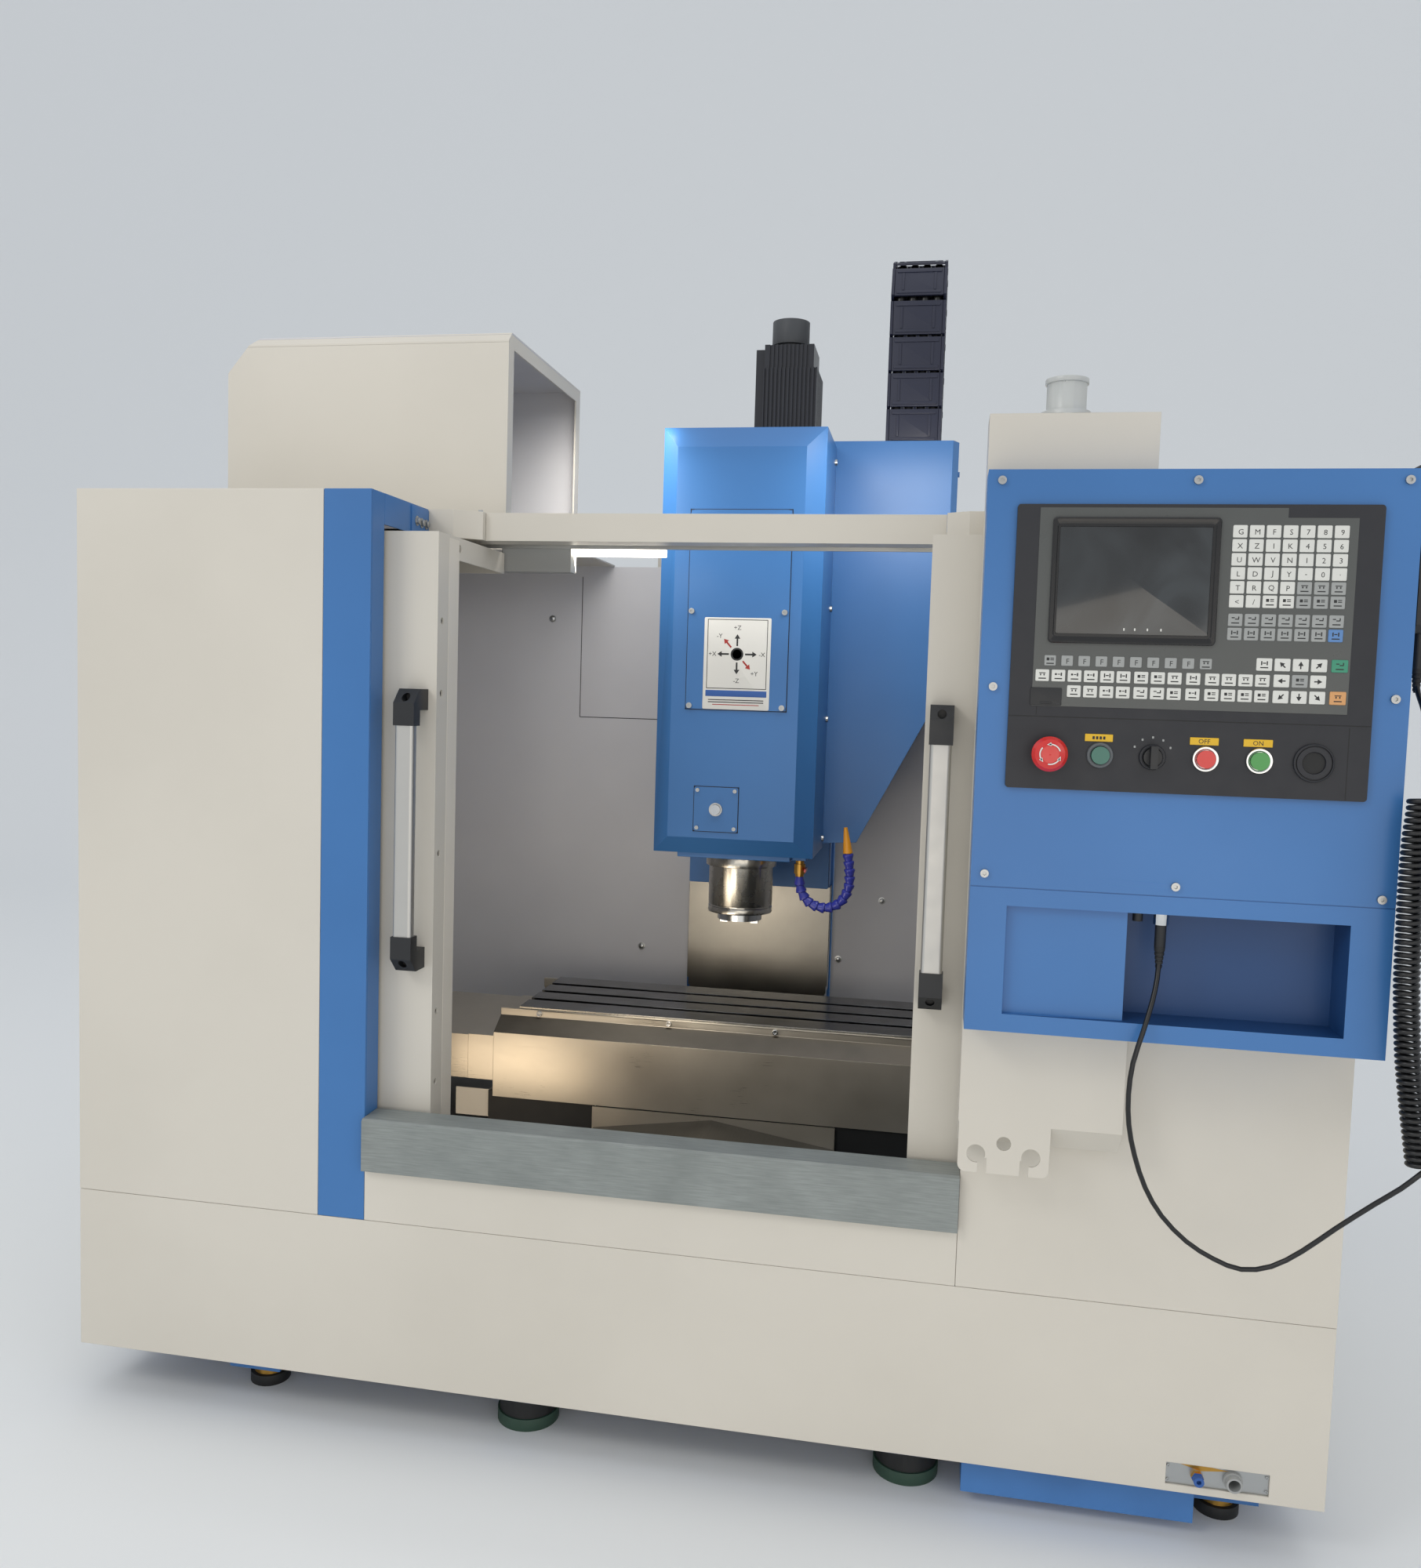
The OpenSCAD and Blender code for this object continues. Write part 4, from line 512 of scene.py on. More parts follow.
GALVANISED = machined("galvanised_sheet", "#8e9294", 0.5)
BLACK_ABS = moulded("moulded_abs_black", "#1f2124", 0.42)
PANEL_BLACK = moulded("textured_abs_charcoal", "#212329", 0.5, 1.4, 0.06)
GLOSS_BLACK = moulded("glossy_abs_black", "#17181a", 0.22, 2.0, 0.01)
FAN_PLASTIC = moulded("moulded_nylon_dark_grey", "#43464a", 0.5)
CHAIN_NYLON = moulded("glass_filled_nylon_black", "#22263a", 0.4, 1.5, 0.05)
ALUMINIUM = machined("anodised_aluminium", "#c4c3bf", 0.42)
GREY_PLASTIC = moulded("moulded_abs_grey", "#9fa1a0", 0.45)
WHITE_PLASTIC = moulded("moulded_nylon_white", "#e3e1d8", 0.45)
OVERLAY = moulded("polyester_overlay_grey", "#4f5251", 0.3, 1.1, 0.02)
KEYS = {kind: moulded("silicone_key_" + kind, colour, 0.42) for kind, colour in (
    ("pale", "#d8d9d4"), ("grey", "#9c9f9e"), ("blue", "#5b86bd"), ("green", "#3c8f72"),
    ("orange", "#d39c66"))}
LEGEND = moulded("printed_ink_black", "#2a2b2c", 0.6)
PRINT_RED = moulded("printed_ink_red", "#a8322c", 0.6)
PRINT_BLUE = moulded("printed_ink_blue", "#2f5aa0", 0.5)
LABEL_WHITE = moulded("vinyl_label_white", "#dcdcd8", 0.4, 2.0, 0.01)
LABEL_YELLOW = moulded("engraved_laminate_yellow", "#dfb321", 0.4, 2.0, 0.01)
RED_GLOSS = moulded("gloss_plastic_red", "#cf2a27", 0.22, 3.0, 0.01, Coat_Weight=0.4)
TEAL_GLOSS = moulded("gloss_plastic_teal", "#0f6355", 0.2, 3.0, 0.01, Coat_Weight=0.4)
GREEN_GLOSS = moulded("gloss_plastic_green", "#2f8f3a", 0.2, 3.0, 0.01, Coat_Weight=0.4)
CHROME = machined("chromed_brass", "#d2d4d5", 0.1)
RUBBER = moulded("black_rubber", "#1b1c1d", 0.62, 1.2, 0.05)
CORD_PVC = moulded("soft_pvc_black", "#141517", 0.33, 2.0, 0.01)
HOSE_BLUE = moulded("acetal_hose_blue", "#3b42a8", 0.28, 2.0, 0.01)
NOZZLE_ORANGE = moulded("acetal_nozzle_orange", "#e29a2c", 0.32, 2.0, 0.01)
# Green rubber of the inner feet's pads, made dark as painted shade for the shadow under the bed
PAD_GREEN_PAINTED_SHADE = moulded("rubber_pad_green_painted_shade", "#2f4a3d", 0.6, 1.5, 0.08)
PILOT_CLEAR = moulded("polycarbonate_frosted", "#d9dcda", 0.3, 4.0, 0.02,
                      Transmission_Weight=0.35)
TANK_PLASTIC = moulded("translucent_polyethylene", "#d9cfae", 0.35, Subsurface_Weight=0.2)
OPAL = lamp_lens()


# Pendant cord, from the connector under the control box up to the pendant's gland

CORD_RADIUS = 3.0
COIL_RADIUS = 11.0
COIL_PITCH = 7.25
LEAD = [(632, -105, 813), (632, -105, 799), (630, -112, 775), (624, -123, 749), (614, -133, 715),
        (604, -137, 678), (601, -136, 640), (604, -131, 602), (613, -126, 564), (628, -121, 524),
        (649, -117, 490), (679, -115, 461), (711, -115, 443), (742, -118, 435), (774, -122, 444),
        (805, -127, 468), (838, -134, 502), (874, -143, 538), (898, -151, 562)]
COIL_AXIS = [(917, -145, 584), (911, -145, 621), (904, -145, 665), (898, -145, 709),
             (894, -145, 753), (891, -145, 799), (890, -145, 845), (889, -145, 887),
             (889, -145, 928), (890, -145, 965), (894, -143.4, 1002)]  # its own weight bows it
TAIL = [(901, -152, 1016), (903, -141, 1044), (905, -125, 1070), (906, -105, 1092),
        (907, -86, 1109), (907.3, -71, 1122), (907, -65, 1136), (907, -65, 1150)]


def coil_points():
    """Helix round a bowed axis: it starts and ends at the front of its circle, where it runs to
    the right, as the lead comes in and the tail leaves. The last turns are pulled a bit wider."""
    foot, top = COIL_AXIS[0][2], COIL_AXIS[-1][2]
    turns = round((top - foot) / COIL_PITCH)
    t = np.linspace(0, 1, turns * 14 + 1)
    axis = smooth_path(COIL_AXIS, 12)
    height = foot + (top - foot) * t
    middle = np.stack([np.interp(height, axis[:, 2], axis[:, i]) for i in range(3)], -1)
    angle = (2 * math.pi * turns * t - math.pi / 2)[:, None]
    radius = (COIL_RADIUS + 1.5 * np.exp((t - 1) * turns))[:, None]
    return middle + radius * (np.cos(angle) * X + np.sin(angle) * Y)


def make_cord():
    """The cord as one tube, and a ribbed sleeve round each of its ends."""
    coil = coil_points()
    lead = smooth_path([*LEAD, coil[0]])[:-1]
    tail = smooth_path([coil[-1], *TAIL])[1:]
    path = np.vstack([lead, coil, tail])
    cord = piece("curly_cord", "frame", [(CORD_PVC, [swept(path, CORD_RADIUS, 8)])], 60)
    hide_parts("pendant_cord")
    profile = [(3.05, -2), (6.4, -2), (6.4, 2)]
    for ring in range(5):
        reach, h = 6.2 - 0.55 * ring, 5 * ring
        profile += [(reach, h + 3), (reach - 0.2, h + 6), (reach - 1.1, h + 6.4),
                    (reach - 1.1, h + 7.6)]
    profile.append((3.1, 28))
    reliefs = [piece(name, "frame", [(RUBBER, [turned(profile, top, -Z, 24)])], 40)
               for name, top in (("lead_strain_relief", LEAD[0]), ("tail_strain_relief", TAIL[-1]))]


make_cord()


# Finishes of the construction nodes

(X0, Y0, Z0), (X1, Y1, Z1) = low("hood"), high("hood")
# Nodes: (finish, regions with another one, as paint() takes them)
FINISHES = {
    # Enclosure
    "front_panels": (CREAM, []),
    "blue_post head_side_cover": (BLUE, []),
    "door_sill": (SILL_PAINT, []),
    "chip_pan": (GALVANISED, []),
    "side_back_panels": (CREAM, [
        (INNER_GREY, (-886.5, 886.5, 984, 986.5, 90, 1370)),
        (INNER_GREY, (-886.5, -885.5, 5, 984, 90, 1370)),
        (INNER_GREY, (885.5, 886.5, 5, 984, 90, 1370)),
        (ZINC, (220, 365, 900, 990, 1364.9, 1376))]),
    "roof_and_header": (CREAM, [(ZINC, (-400, 400, 225, 245, 1368.1, 1375))]),
    "hood": (CREAM, [
        (INNER_GREY, (X0 + 1, X1 - 3.5, Y0 + 2, Y0 + 4.5, Z0 - 2, Z1 - 18.4)),
        (INNER_GREY, (X0 + 1, X1 - 3.5, Y1 - 4.5, Y1 - 2, Z0 - 2, Z1)),
        (INNER_GREY, (X0 + 1, X1 + 1, Y0 + 2, Y1 - 2, Z1 - 4, Z1 - 2)),
        (INNER_GREY, (X0 + 2, X0 + 4, Y0 + 2, Y1 - 2, Z0 - 2, Z1 - 30))]),
    "door_rails": (DARK_GREY, [
        (GROUND_STEEL, (-820, 820, 70, 110, 400.1, 416)),
        (ZINC, (-820, 820, 276, 346, 1300, 1366))]),
    "lamp": (DUCT_GREY, [
        (OPAL, (-240, -80, 320, 352, 1310, 1328)),
        (WHITE_PLASTIC, (-240, -80, 320, 352, 1328, 1350))]),
    "door_left door_right": (CREAM, [
        (WHITE_PLASTIC, (-800, 800, 80, 96, 400, 439.9)),
        (WHITE_PLASTIC, (-800, 800, 289, 315, 1316.1, 1350)),
        (BLACK_ABS, (-410, 390, -5, 49.9, 680, 1100)),
        (ALUMINIUM, (-395, 385, 1.9, 18.1, 760, 1020))]),
    # Control
    "pendant_wheel release_button": (CHROME, []),
    "axis_knob step_knob selector_knob": (BLACK_ABS, []),
    "estop_button red_button main_switch coolant_lever": (RED_GLOSS, []),
    "teal_button": (TEAL_GLOSS, []),
    "green_button": (GREEN_GLOSS, []),
    "box_pillar": (CREAM, [(PILOT_CLEAR, (460, 540, -65, 5, 1448.1, 1500))]),
    "control_housing": (BLUE, [
        # inside of the deep pocket in darker blue: painted shade
        (POCKET_SHADE_BLUE, (592.9, 837.1, -118, -61.9, 720.9, 853.1)),
        (ZINC, (400, 890, -130, -120.1, 690, 1380)),
        (CHROME, (620, 644, -116, -94, 838.9, 854)),
        (BLACK_ABS, (590, 644, -116, -92, 800, 853.1)),
        (CHROME, (620, 644, -116, -94, 839.1, 852.9))]),
    "cnc_panel": (PANEL_BLACK, [(GLOSS_BLACK, (470, 690, -130, -126.1, 1160, 1325))]),
    "pendant": (BLACK_ABS, [(ZINC, (882, 889, -93, -37, 1240, 1345))]),
    # Base and outside
    "bed_casting": (CAST_GREY, []),
    "skirt_fittings": (ZINC, [
        (BRASS, (720, 746, -20, 30, 90, 115)),
        (PRINT_BLUE, (725, 741, -13, -2.9, 94, 110)),
        (GREY_PLASTIC, (764, 790, -20, 30, 88, 116))]),
    "machine_feet": (CAST_BLUE, [
        (RUBBER, (-670, -600, 70, 1195, -1, 16.1)),
        (RUBBER, (745, 820, 70, 1195, -1, 16.1)),
        (BRASS, (-670, -600, 70, 1195, 16.1, 26.9)),
        (BRASS, (745, 820, 70, 1195, 16.1, 26.9)),
        # inner feet's pads: green rubber, darkened as painted shade
        (PAD_GREEN_PAINTED_SHADE, (-255, 410, 50, 1290, -1, 18.1)),
        (RUBBER, (-255, 410, 50, 1290, 18.1, 59.9))]),
    "column": (CAST_BLUE, [
        (ZINC, (-230, 230, 1080, 1260, 322, 350)),
        (DARK_GREY, (-145, 145, 1230, 1320, 480, 1345))]),
    "axis_motors": (GLOSS_BLACK, [
        (CAST_GREY, (-60, 60, 940, 1100, 240, 420)),
        (CAST_GREY, (-60, 60, 940, 1100, 1559, 1618))]),
    "fixed_way_covers": (SPRING_STEEL, [(STAINLESS_UPRIGHT, (-160, 160, 900, 1100, 320, 800))]),
    "electrics": (CREAM, [
        (GALVANISED, (-292, 292, 1313, 1318, 400, 1380)),
        (BLACK_ABS, (-280, 60, 1317, 1480, 1080, 1330)),
        (WHITE_PLASTIC, (-280, 130, 1317, 1400, 890, 990)),
        (BRASS, (-260, -100, 1317, 1430, 460, 610)),
        (GREY_PLASTIC, (-285, 285, 1317, 1372, 855, 1055)),
        (ZINC, (-335, -320, 1500, 1540, 440, 1330)),
        (LABEL_YELLOW, (319.9, 324, 1370, 1450, 1160, 1240))]),
    "cabinet_door": (CREAM, [(BLACK_ABS, (255, 290, 1528.6, 1550, 850, 970))]),
    "coolant_unit": (DARK_GREY, [
        (CAST_BLUE, (-790, -600, 1060, 1250, 333.1, 479)),
        (BLACK_ABS, (-790, -600, 1060, 1250, 479, 520))]),
    "lubricator": (WHITE_PLASTIC, [
        (TANK_PLASTIC, (-950, -889, 640, 760, 679, 759.9)),
        (BLACK_ABS, (-950, -889, 670, 730, 880.1, 920)),
        (ZINC, (-892, -888, 625, 775, 695, 905))]),
    # Slides
    "frame_rails x_screw y_screw z_screw spindle_shaft": (GROUND_STEEL, []),
    "x_cover_left x_cover_right": (STAINLESS, []),
    "y_cover_mid": (SPRING_STEEL, []),
    "z_cover_top z_cover_upper z_cover_lower": (STAINLESS_UPRIGHT, []),
    "saddle_slide": (CAST_GREY, [
        (GROUND_STEEL, (-370, 370, 530, 716, 400.1, 426)),
        (GLOSS_BLACK, (412.5, 540, 580, 665, 380, 460))]),
    "saddle_covers": (STAINLESS, [
        (RUBBER, (-415, 415, 460, 465.1, 295, 373)),
        (SPRING_STEEL, (-214, 214, 270, 454.9, 280, 360)),
        (CREAM, (-480, 480, 464.9, 500, 300, 379))]),
    "table_slide": (TABLE_IRON, [
        (CAST_GREY, (-400, 420, 520, 730, 400, 477.9)),
        (SPINDLE_STEEL, (-384, 418, 497.9, 498.1, 478, 521)),
        (SPINDLE_STEEL, (-370, -367.9, 497, 749, 478, 521))]),
    "table_covers": (STAINLESS, [
        # sloping top of the covers, darker: painted shade
        (STAINLESS_TOP_SHADE, (-403, 437, 457.2, 494.8, 480.5, 502.9)),
        (CHROME, (-360, 400, 480, 494.9, 500, 516))]),
    # Head
    "head_slide": (CAST_BLUE, []),
    "spindle_housing": (SPINDLE_STEEL, []),
    "head_front_cover": (BLUE, [
        (ZINC, (-100, 110, 540, 555.9, 800, 1573)),
        (ZINC, (147.1, 160, 740, 770, 800, 1573)),
        (ZINC, (-70, 70, 700, 730, 1573.1, 1590))]),
    "spindle_motor": (MOTOR_ENAMEL, [(FAN_PLASTIC, (0, 100, 800, 920, 1778.1, 1850))]),
    "coolant_line": (HOSE_BLUE, [
        (BRASS, (105, 131, 635, 665, 764, 797)),
        (NOZZLE_ORANGE, (190, 222, 635, 665, 812, 866))]),
}
for nodes, (finish, regions) in FINISHES.items():
    for node in nodes.split():
        paint(node, finish, regions)

EDGE_WIDTHS = {
    0.5: "table_slide",
    0.6: "x_cover_left x_cover_right",
    0.7: "table_covers",
    0.8: "head_front_cover head_side_cover spindle_housing spindle_motor chip_pan",
    1.0: "side_back_panels door_sill cnc_panel door_left door_right cabinet_door lamp main_switch",
    1.2: "front_panels blue_post roof_and_header hood control_housing",
    1.5: "box_pillar pendant lubricator",
    2.0: "head_slide machine_feet coolant_unit",
    3.0: "column",
}
for width, nodes in EDGE_WIDTHS.items():
    for node in nodes.split():
        round_edges(node, width)


# Operator unit: overlay, screen, keys and their legends

UNIT = low("cnc_panel")
FACE_Y = high("cnc_panel")[1] - 6  # front plane of the unit
ESTOP_REACH = 29.2  # how far the emergency stop's face stands out from there


def on_unit(x, z, out=0.0):
    """Point on the unit's face, from its lower left corner."""
    return np.array((UNIT[0] + x, FACE_Y - out, UNIT[2] + z))


KEY_W, KEY_H = 15.6, 13.8
KEY_LIFT = 1.5  # the cap's face above the unit's face
AXIS_X, AXIS_Z = 281.7, 152.4  # middle of the upper left key among the arrows


def key_columns(first, count, pitch):
    """Middles of count keys in a row."""
    return [first + i * pitch for i in range(count)]


# Letters of each row, and how many of its seven keys are pale
LETTER_ROWS = [("GMFS789", 7), ("XZIK456", 7), ("UWVN123", 7), ("LDJY-0.", 7), ("TRQP", 4),
               ("</", 4), ("", 0), ("", 0)]
OPERATION_COLUMNS = [*key_columns(36.8, 6, 18.35), *key_columns(148.2, 3, 18.5), 205.7,
                     *key_columns(226.4, 4, 18.1)]
# Column and row of each key round the arrows, with its arrow's direction
AXIS_KEYS = {(0, 0): None, (1, 0): 135, (2, 0): 90, (3, 0): 45, (1, 1): 180, (3, 1): 0,
             (1, 2): 225, (2, 2): -90, (3, 2): -45, (2, 1): None}


def key_layout():
    """All keys as (kind, x, z, width, height, legend), from the unit's lower left corner.
    A legend is a character, a number of degrees for an arrow, or None for a pictogram."""
    keys = []
    for j, (letters, pale) in enumerate(LETTER_ROWS):
        z = 302.5 - 15.8 * j if j < 6 else 202.4 - 16.0 * (j - 6)
        for i, x in enumerate(key_columns(247.5, 7, 18.0)):
            kind = "pale" if i < pale else "blue" if (i, j) == (6, 7) else "grey"
            keys.append((kind, x, z, KEY_W, 14.2, letters[i:i + 1] or None))
    for i, x in enumerate(key_columns(45, 10, 19.28)):
        keys.append(("grey", x, 151.4, 13.2, 12.2, "F" if 0 < i < 9 else None))
    keys += [("pale", x, 133.8, KEY_W, KEY_H, None) for x in OPERATION_COLUMNS]
    keys += [("pale", x, 116.0, KEY_W, KEY_H, None) for x in OPERATION_COLUMNS[2:]]
    for (i, j), legend in AXIS_KEYS.items():
        kind = "grey" if (i, j) == (2, 1) else "pale"
        keys.append((kind, AXIS_X + i * 19.5, AXIS_Z - 18.2 * j, 17, 14.4, legend))
    keys.append(("green", 362, 152.4, 17.5, 14.4, None))
    keys.append(("orange", 362, 116.2, 17.5, 15, None))
    return keys


def pictogram(number, place):
    """Small generic sign of two bars and a square over a line, in one of five arrangements."""
    bars = [[(-3, 1.5, 1.4, 4.6), (0, 1.5, 3.4, 1.2), (3, 1.5, 1.4, 4.6)],
            [(-2.4, 2.4, 3.4, 1.2), (1.8, 0.8, 4.4, 1.2), (3.6, 2.6, 1.2, 2.6)],
            [(-2.6, 1.5, 3.2, 3.4), (2.2, 2.6, 4.2, 1.0), (2.2, 0.6, 4.2, 1.0)],
            [(0, 2.8, 7.4, 1.0), (-2, 0.8, 1.4, 2.2), (2, 0.8, 1.4, 2.2)],
            [(-3, 1.6, 2.2, 2.2), (0.4, 1.6, 3.0, 0.9), (3.2, 1.6, 1.6, 3.8)]][number % 5]
    made = [slab(place + (x, 0, z), w, h, 0.08, 0.2, 0.02, steps=2) for x, z, w, h in bars]
    made.append(slab(place + (0, 0, -3.6), 8.6, 1.3, 0.08, 0.2, 0.02, steps=2))
    return made


def make_keypad():
    """Key caps and the rings round the push buttons, and the legends on the caps."""
    caps = {kind: [] for kind in KEYS}
    legends = []
    for number, (kind, x, z, w, h, legend) in enumerate(key_layout()):
        caps[kind].append(slab(on_unit(x, z), w, h, KEY_LIFT, 1.2, 0.7, steps=3))
        top = on_unit(x, z, KEY_LIFT)
        if legend is None:
            legends += pictogram(number * 7 + int(x), top)
        elif isinstance(legend, str):
            legends.append(lettering(legend, top + (0.6, 0, -0.6), 6.2))
        else:
            legends.append(extruded(turned_flat(arrow(8.6, 1.4, 5.0), legend), top, 0.08))
    ring = [(10.5, 0), (15, 0), (15, 2.6), (14.2, 3.8), (12.2, 4), (10.9, 3.4), (10.6, 0.5)]
    bright = [turned(ring, strip_place(i)) for i in (3, 4)]
    dull = turned(ring, strip_place(1))
    yellow = turned([(10.6, 0), (16.4, 0), (16.4, 1.6), (15.6, 2.4), (10.6, 2.4)], strip_place(0))
    collar = turned(ring, strip_place(2))
    blank = turned([(22, 0), (22, 2.6), (21.2, 3.4), (20.2, 3.4), (19.8, 1.4), (18.8, 1.4),
                    (18.4, 3), (12.8, 3), (12, 0.6), (10.5, 0.5)], strip_place(5))
    hole = turned([(12.4, 0.2), (12.2, 0.8), (0, 0.8)], strip_place(5))
    keypad = piece("key_caps", "frame",
                   [(KEYS[kind], caps[kind]) for kind in KEYS]
                   + [(CHROME, bright), (DARK_GREY, [dull]), (LABEL_YELLOW, [yellow]),
                      (PANEL_BLACK, [blank, collar]), (RUBBER, [hole])], 50)
    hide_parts("keys_and_bezels")
    piece("key_legends", "frame", [(LEGEND, legends)])


def strip_place(i):
    """Middle of the button strip's place number i, on the unit's face."""
    return on_unit(48 + i * 58.6, 42)


def make_overlay():
    """Grey film over the unit, notched at its upper right corner, and the screen with its rim."""
    outline = [(26, 98), (373, 98), (373, 318), (298, 318), (298, 329), (26, 329)]
    film = extruded(outline, on_unit(0, 0), 0.5)
    port = slab(on_unit(42, 109), 36, 21, 1.4, 1.5, 0.6)
    grip = slab(on_unit(42, 101.6), 14, 2.4, 2.0, 1.0, 0.5)
    piece("unit_overlay", "frame",
          [(OVERLAY, [film]), (BLACK_ABS, [port, grip])], 40)
    middle = on_unit(134, 245)
    rim = []
    for width, height, out in ((186, 146, 0), (186, 146, 3.2), (184, 144, 4.2), (176, 134, 4.2),
                               (172, 126, 1.6)):
        ring = round_outline(width, height, 5 if width > 175 else 3, 6)
        rim.append(np.column_stack([ring, np.full(len(ring), out)]))
    points, faces = lofted(rim)
    rim_surface = set_at(points, middle, X, Z), faces
    piece("screen_rim", "frame", [(GLOSS_BLACK, [rim_surface])], 35)
    glass = slab(middle + (0, -1.62, 0), 170, 124, 0.6, 2.0, 0.3)
    marks = [slab(middle + (x, -2.25, -56), 1.6, 3, 0.1, 0.5, 0.05) for x in (-8, 4, 18, 33)]
    piece("screen_glass", "frame",
          [(screen_glass(), [glass]), (KEYS["pale"], marks)], 35)


def make_strip_details():
    """Plates over three buttons, marks round the selector, seams, arrows on the stop button."""
    at_plate = [strip_place(i) + (-2, 0, 20.4) for i in (1, 3, 4)]
    plates = [slab(place, 31.5, 8.6, 1.0, 0.6, 0.3) for place in at_plate]
    words = [lettering(word, place + (0, -1.05, 0), 5.4)
             for word, place in zip(("OFF", "ON"), at_plate[1:])]
    words += [slab(at_plate[0] + (x, -1.02, 0), 2.6, 3.6, 0.08, 0.4, 0.02) for x in (-6, -2, 2, 6)]
    marks = [slab(round_from(strip_place(2), 23, degrees), 2.2, 2.6, 0.12, 0.6, 0.05)
             for degrees in (30, 60, 90, 120, 150)]
    seams = [slab(on_unit(x, z), w, h, 0.12, 0.3, 0.05)
             for x, z, w, h in ((200, 85.4, 399, 1.2), (377, 42, 1.0, 82), (32, 206, 0.8, 238))]
    piece("button_labels", "frame", [(LABEL_YELLOW, plates), (KEYS["grey"], marks),
                                              (RUBBER, seams), (LEGEND, words)], 40)
    face = strip_place(0) - ESTOP_REACH * Y
    tip = np.array([(-2.4, -2.2), (2.6, 0), (-2.4, 2.2)])
    arcs = []
    for start in (20, 140, 260):
        end = start + 78
        arcs.append(extruded(arc_band(11.6, 1.5, start, end), face, 0.7))
        arcs.append(extruded(turned_flat(tip, end + 90), round_from(face, 11.6, end), 0.7))
    piece("estop_arrows", "estop", [(LABEL_WHITE, arcs)])


make_keypad()
make_overlay()
make_strip_details()


# Head label with the directions of the axes

LABEL_MIDDLE = np.array((3.0, 555.9, 1152))
LABEL_W, LABEL_H = 120.0, 163.0
PRINT = 0.14  # thickness of its print
AXIS_NAMES = [("-X", 45, 0), ("+X", -44, 0), ("+Z", 0, 47), ("-Z", 0, -47), ("-Y", -32, 32),
              ("+Y", 32, -34)]


def make_axis_label():
    """Plate with arrows and names round a hub in a thin border, over a bar and three lines."""
    plate = slab(LABEL_MIDDLE, LABEL_W, LABEL_H, 0.6, 2.5, 0.2)
    top = LABEL_MIDDLE + (0, -0.6, 0)
    hub = top + (0, 0, 17)
    black = [slab(hub, 17, 17, PRINT, 8.4, 0.05, steps=8),
             turned([(10.4, 0), (11.4, 0), (11.4, PRINT), (10.4, PRINT)], hub)]
    for s in (-1, 1):
        black.append(slab(hub + (0, 0, s * 61), 108, 1.2, 0.1, 0.3, 0.04))
        black.append(slab(hub + (s * 53.5, 0, 0), 1.2, 122, 0.1, 0.3, 0.04))
    black += [extruded(turned_flat(arrow(21, 3.0, 8), degrees), round_from(hub, 25, degrees), PRINT)
              for degrees in (0, 90, 180, 270)]
    black += [lettering(text, hub + (x, 0, z), 8.0) for text, x, z in AXIS_NAMES]
    black += [slab(top + (0, 0, z), 100, 1.6, 0.1, 0.4, 0.04) for z in (-64.5, -68.5)]
    red = [extruded(turned_flat(arrow(20, 3.0, 8), degrees), round_from(hub, 26, degrees), PRINT)
           for degrees in (-48, 132)]
    red.append(slab(top + (0, 0, -73), 84, 1.4, 0.1, 0.4, 0.04))
    blue = [slab(top + (0, 0, -53), 110, 11, 0.12, 0.6, 0.04)]
    piece("axis_label", "head",
          [(LABEL_WHITE, [plate]), (LEGEND, black), (PRINT_RED, red), (PRINT_BLUE, blue)], 40)


make_axis_label()


# Details of the head

HEAD_FACE_Y = 557.9
HOSE_JOINTS = [(118, -30.5), (119, -47), (123, -60), (130, -72), (140, -81), (153, -86),
               (167, -88), (181, -85), (193, -78), (202, -67), (208, -54), (211, -40),
               (211, -26), (210, -12), (208, 2), (206, 15)]  # X, and Z from the head's lower edge


def make_hose_links():
    """Sockets of the jointed hose: each widens from the ball before it to a lip round the next."""
    bottom = low("head_front_cover")[2] - 10
    points = [np.array((x, 650, bottom + z)) for x, z in HOSE_JOINTS]
    links = []
    for a, b in zip(points[:-1], points[1:]):
        span = np.linalg.norm(b - a)
        profile = [(6.2, 0.02), (7.4, 0.1), (7.8, 0.3), (9.4, 0.62), (10.0, 0.8), (9.8, 0.94),
                   (8.4, 1.0), (6.4, 1.0)]
        links.append(turned([(r, h * span) for r, h in profile], a, (b - a) / span, 24))
    piece("coolant_hose_links", "head", [(HOSE_BLUE, links)], 35)


def make_head_seams():
    """Dark joints round the two removable plates on the front of the head."""
    seams = []
    for x, z, w, h in ((3, 1246.5, 181, 353), (-27, 890.5, 80, 80)):
        for s in (-1, 1):
            seams.append(slab((x, HEAD_FACE_Y, z + s * (h / 2 + 0.5)), w + 3, 1.6, 0.5, 0.5, 0.1))
            seams.append(slab((x + s * (w / 2 + 0.5), HEAD_FACE_Y, z), 1.6, h + 3, 0.5, 0.5, 0.1))
    piece("head_plate_seams", "head", [(RUBBER, seams)])


make_hose_links()
make_head_seams()


# Cable chain, and the channel on the back wall that it runs down over

CHAIN_X, CHAIN_Y = 288.5, 820.0  # of the rising run
CHAIN_BEND = 80.0  # radius
CHAIN_FROM, CHAIN_TOP, CHAIN_TO = 1585.0, 1858.0, 1375.0  # heights: start, bend, end
CHAIN_RISE, CHAIN_TURN = CHAIN_TOP - CHAIN_FROM, math.pi * CHAIN_BEND
LINKS = 15


def chain_point(s):
    """Point at the length s of the chain's path: up, half a turn about the bend, and down."""
    if s <= CHAIN_RISE:
        return np.array((CHAIN_X, CHAIN_Y, CHAIN_FROM + s))
    if s >= CHAIN_RISE + CHAIN_TURN:
        fall = s - CHAIN_RISE - CHAIN_TURN
        return np.array((CHAIN_X, CHAIN_Y + 2 * CHAIN_BEND, CHAIN_TOP - fall))
    a = (s - CHAIN_RISE) / CHAIN_BEND
    return np.array((CHAIN_X, CHAIN_Y + CHAIN_BEND * (1 - math.cos(a)),
                     CHAIN_TOP + CHAIN_BEND * math.sin(a)))


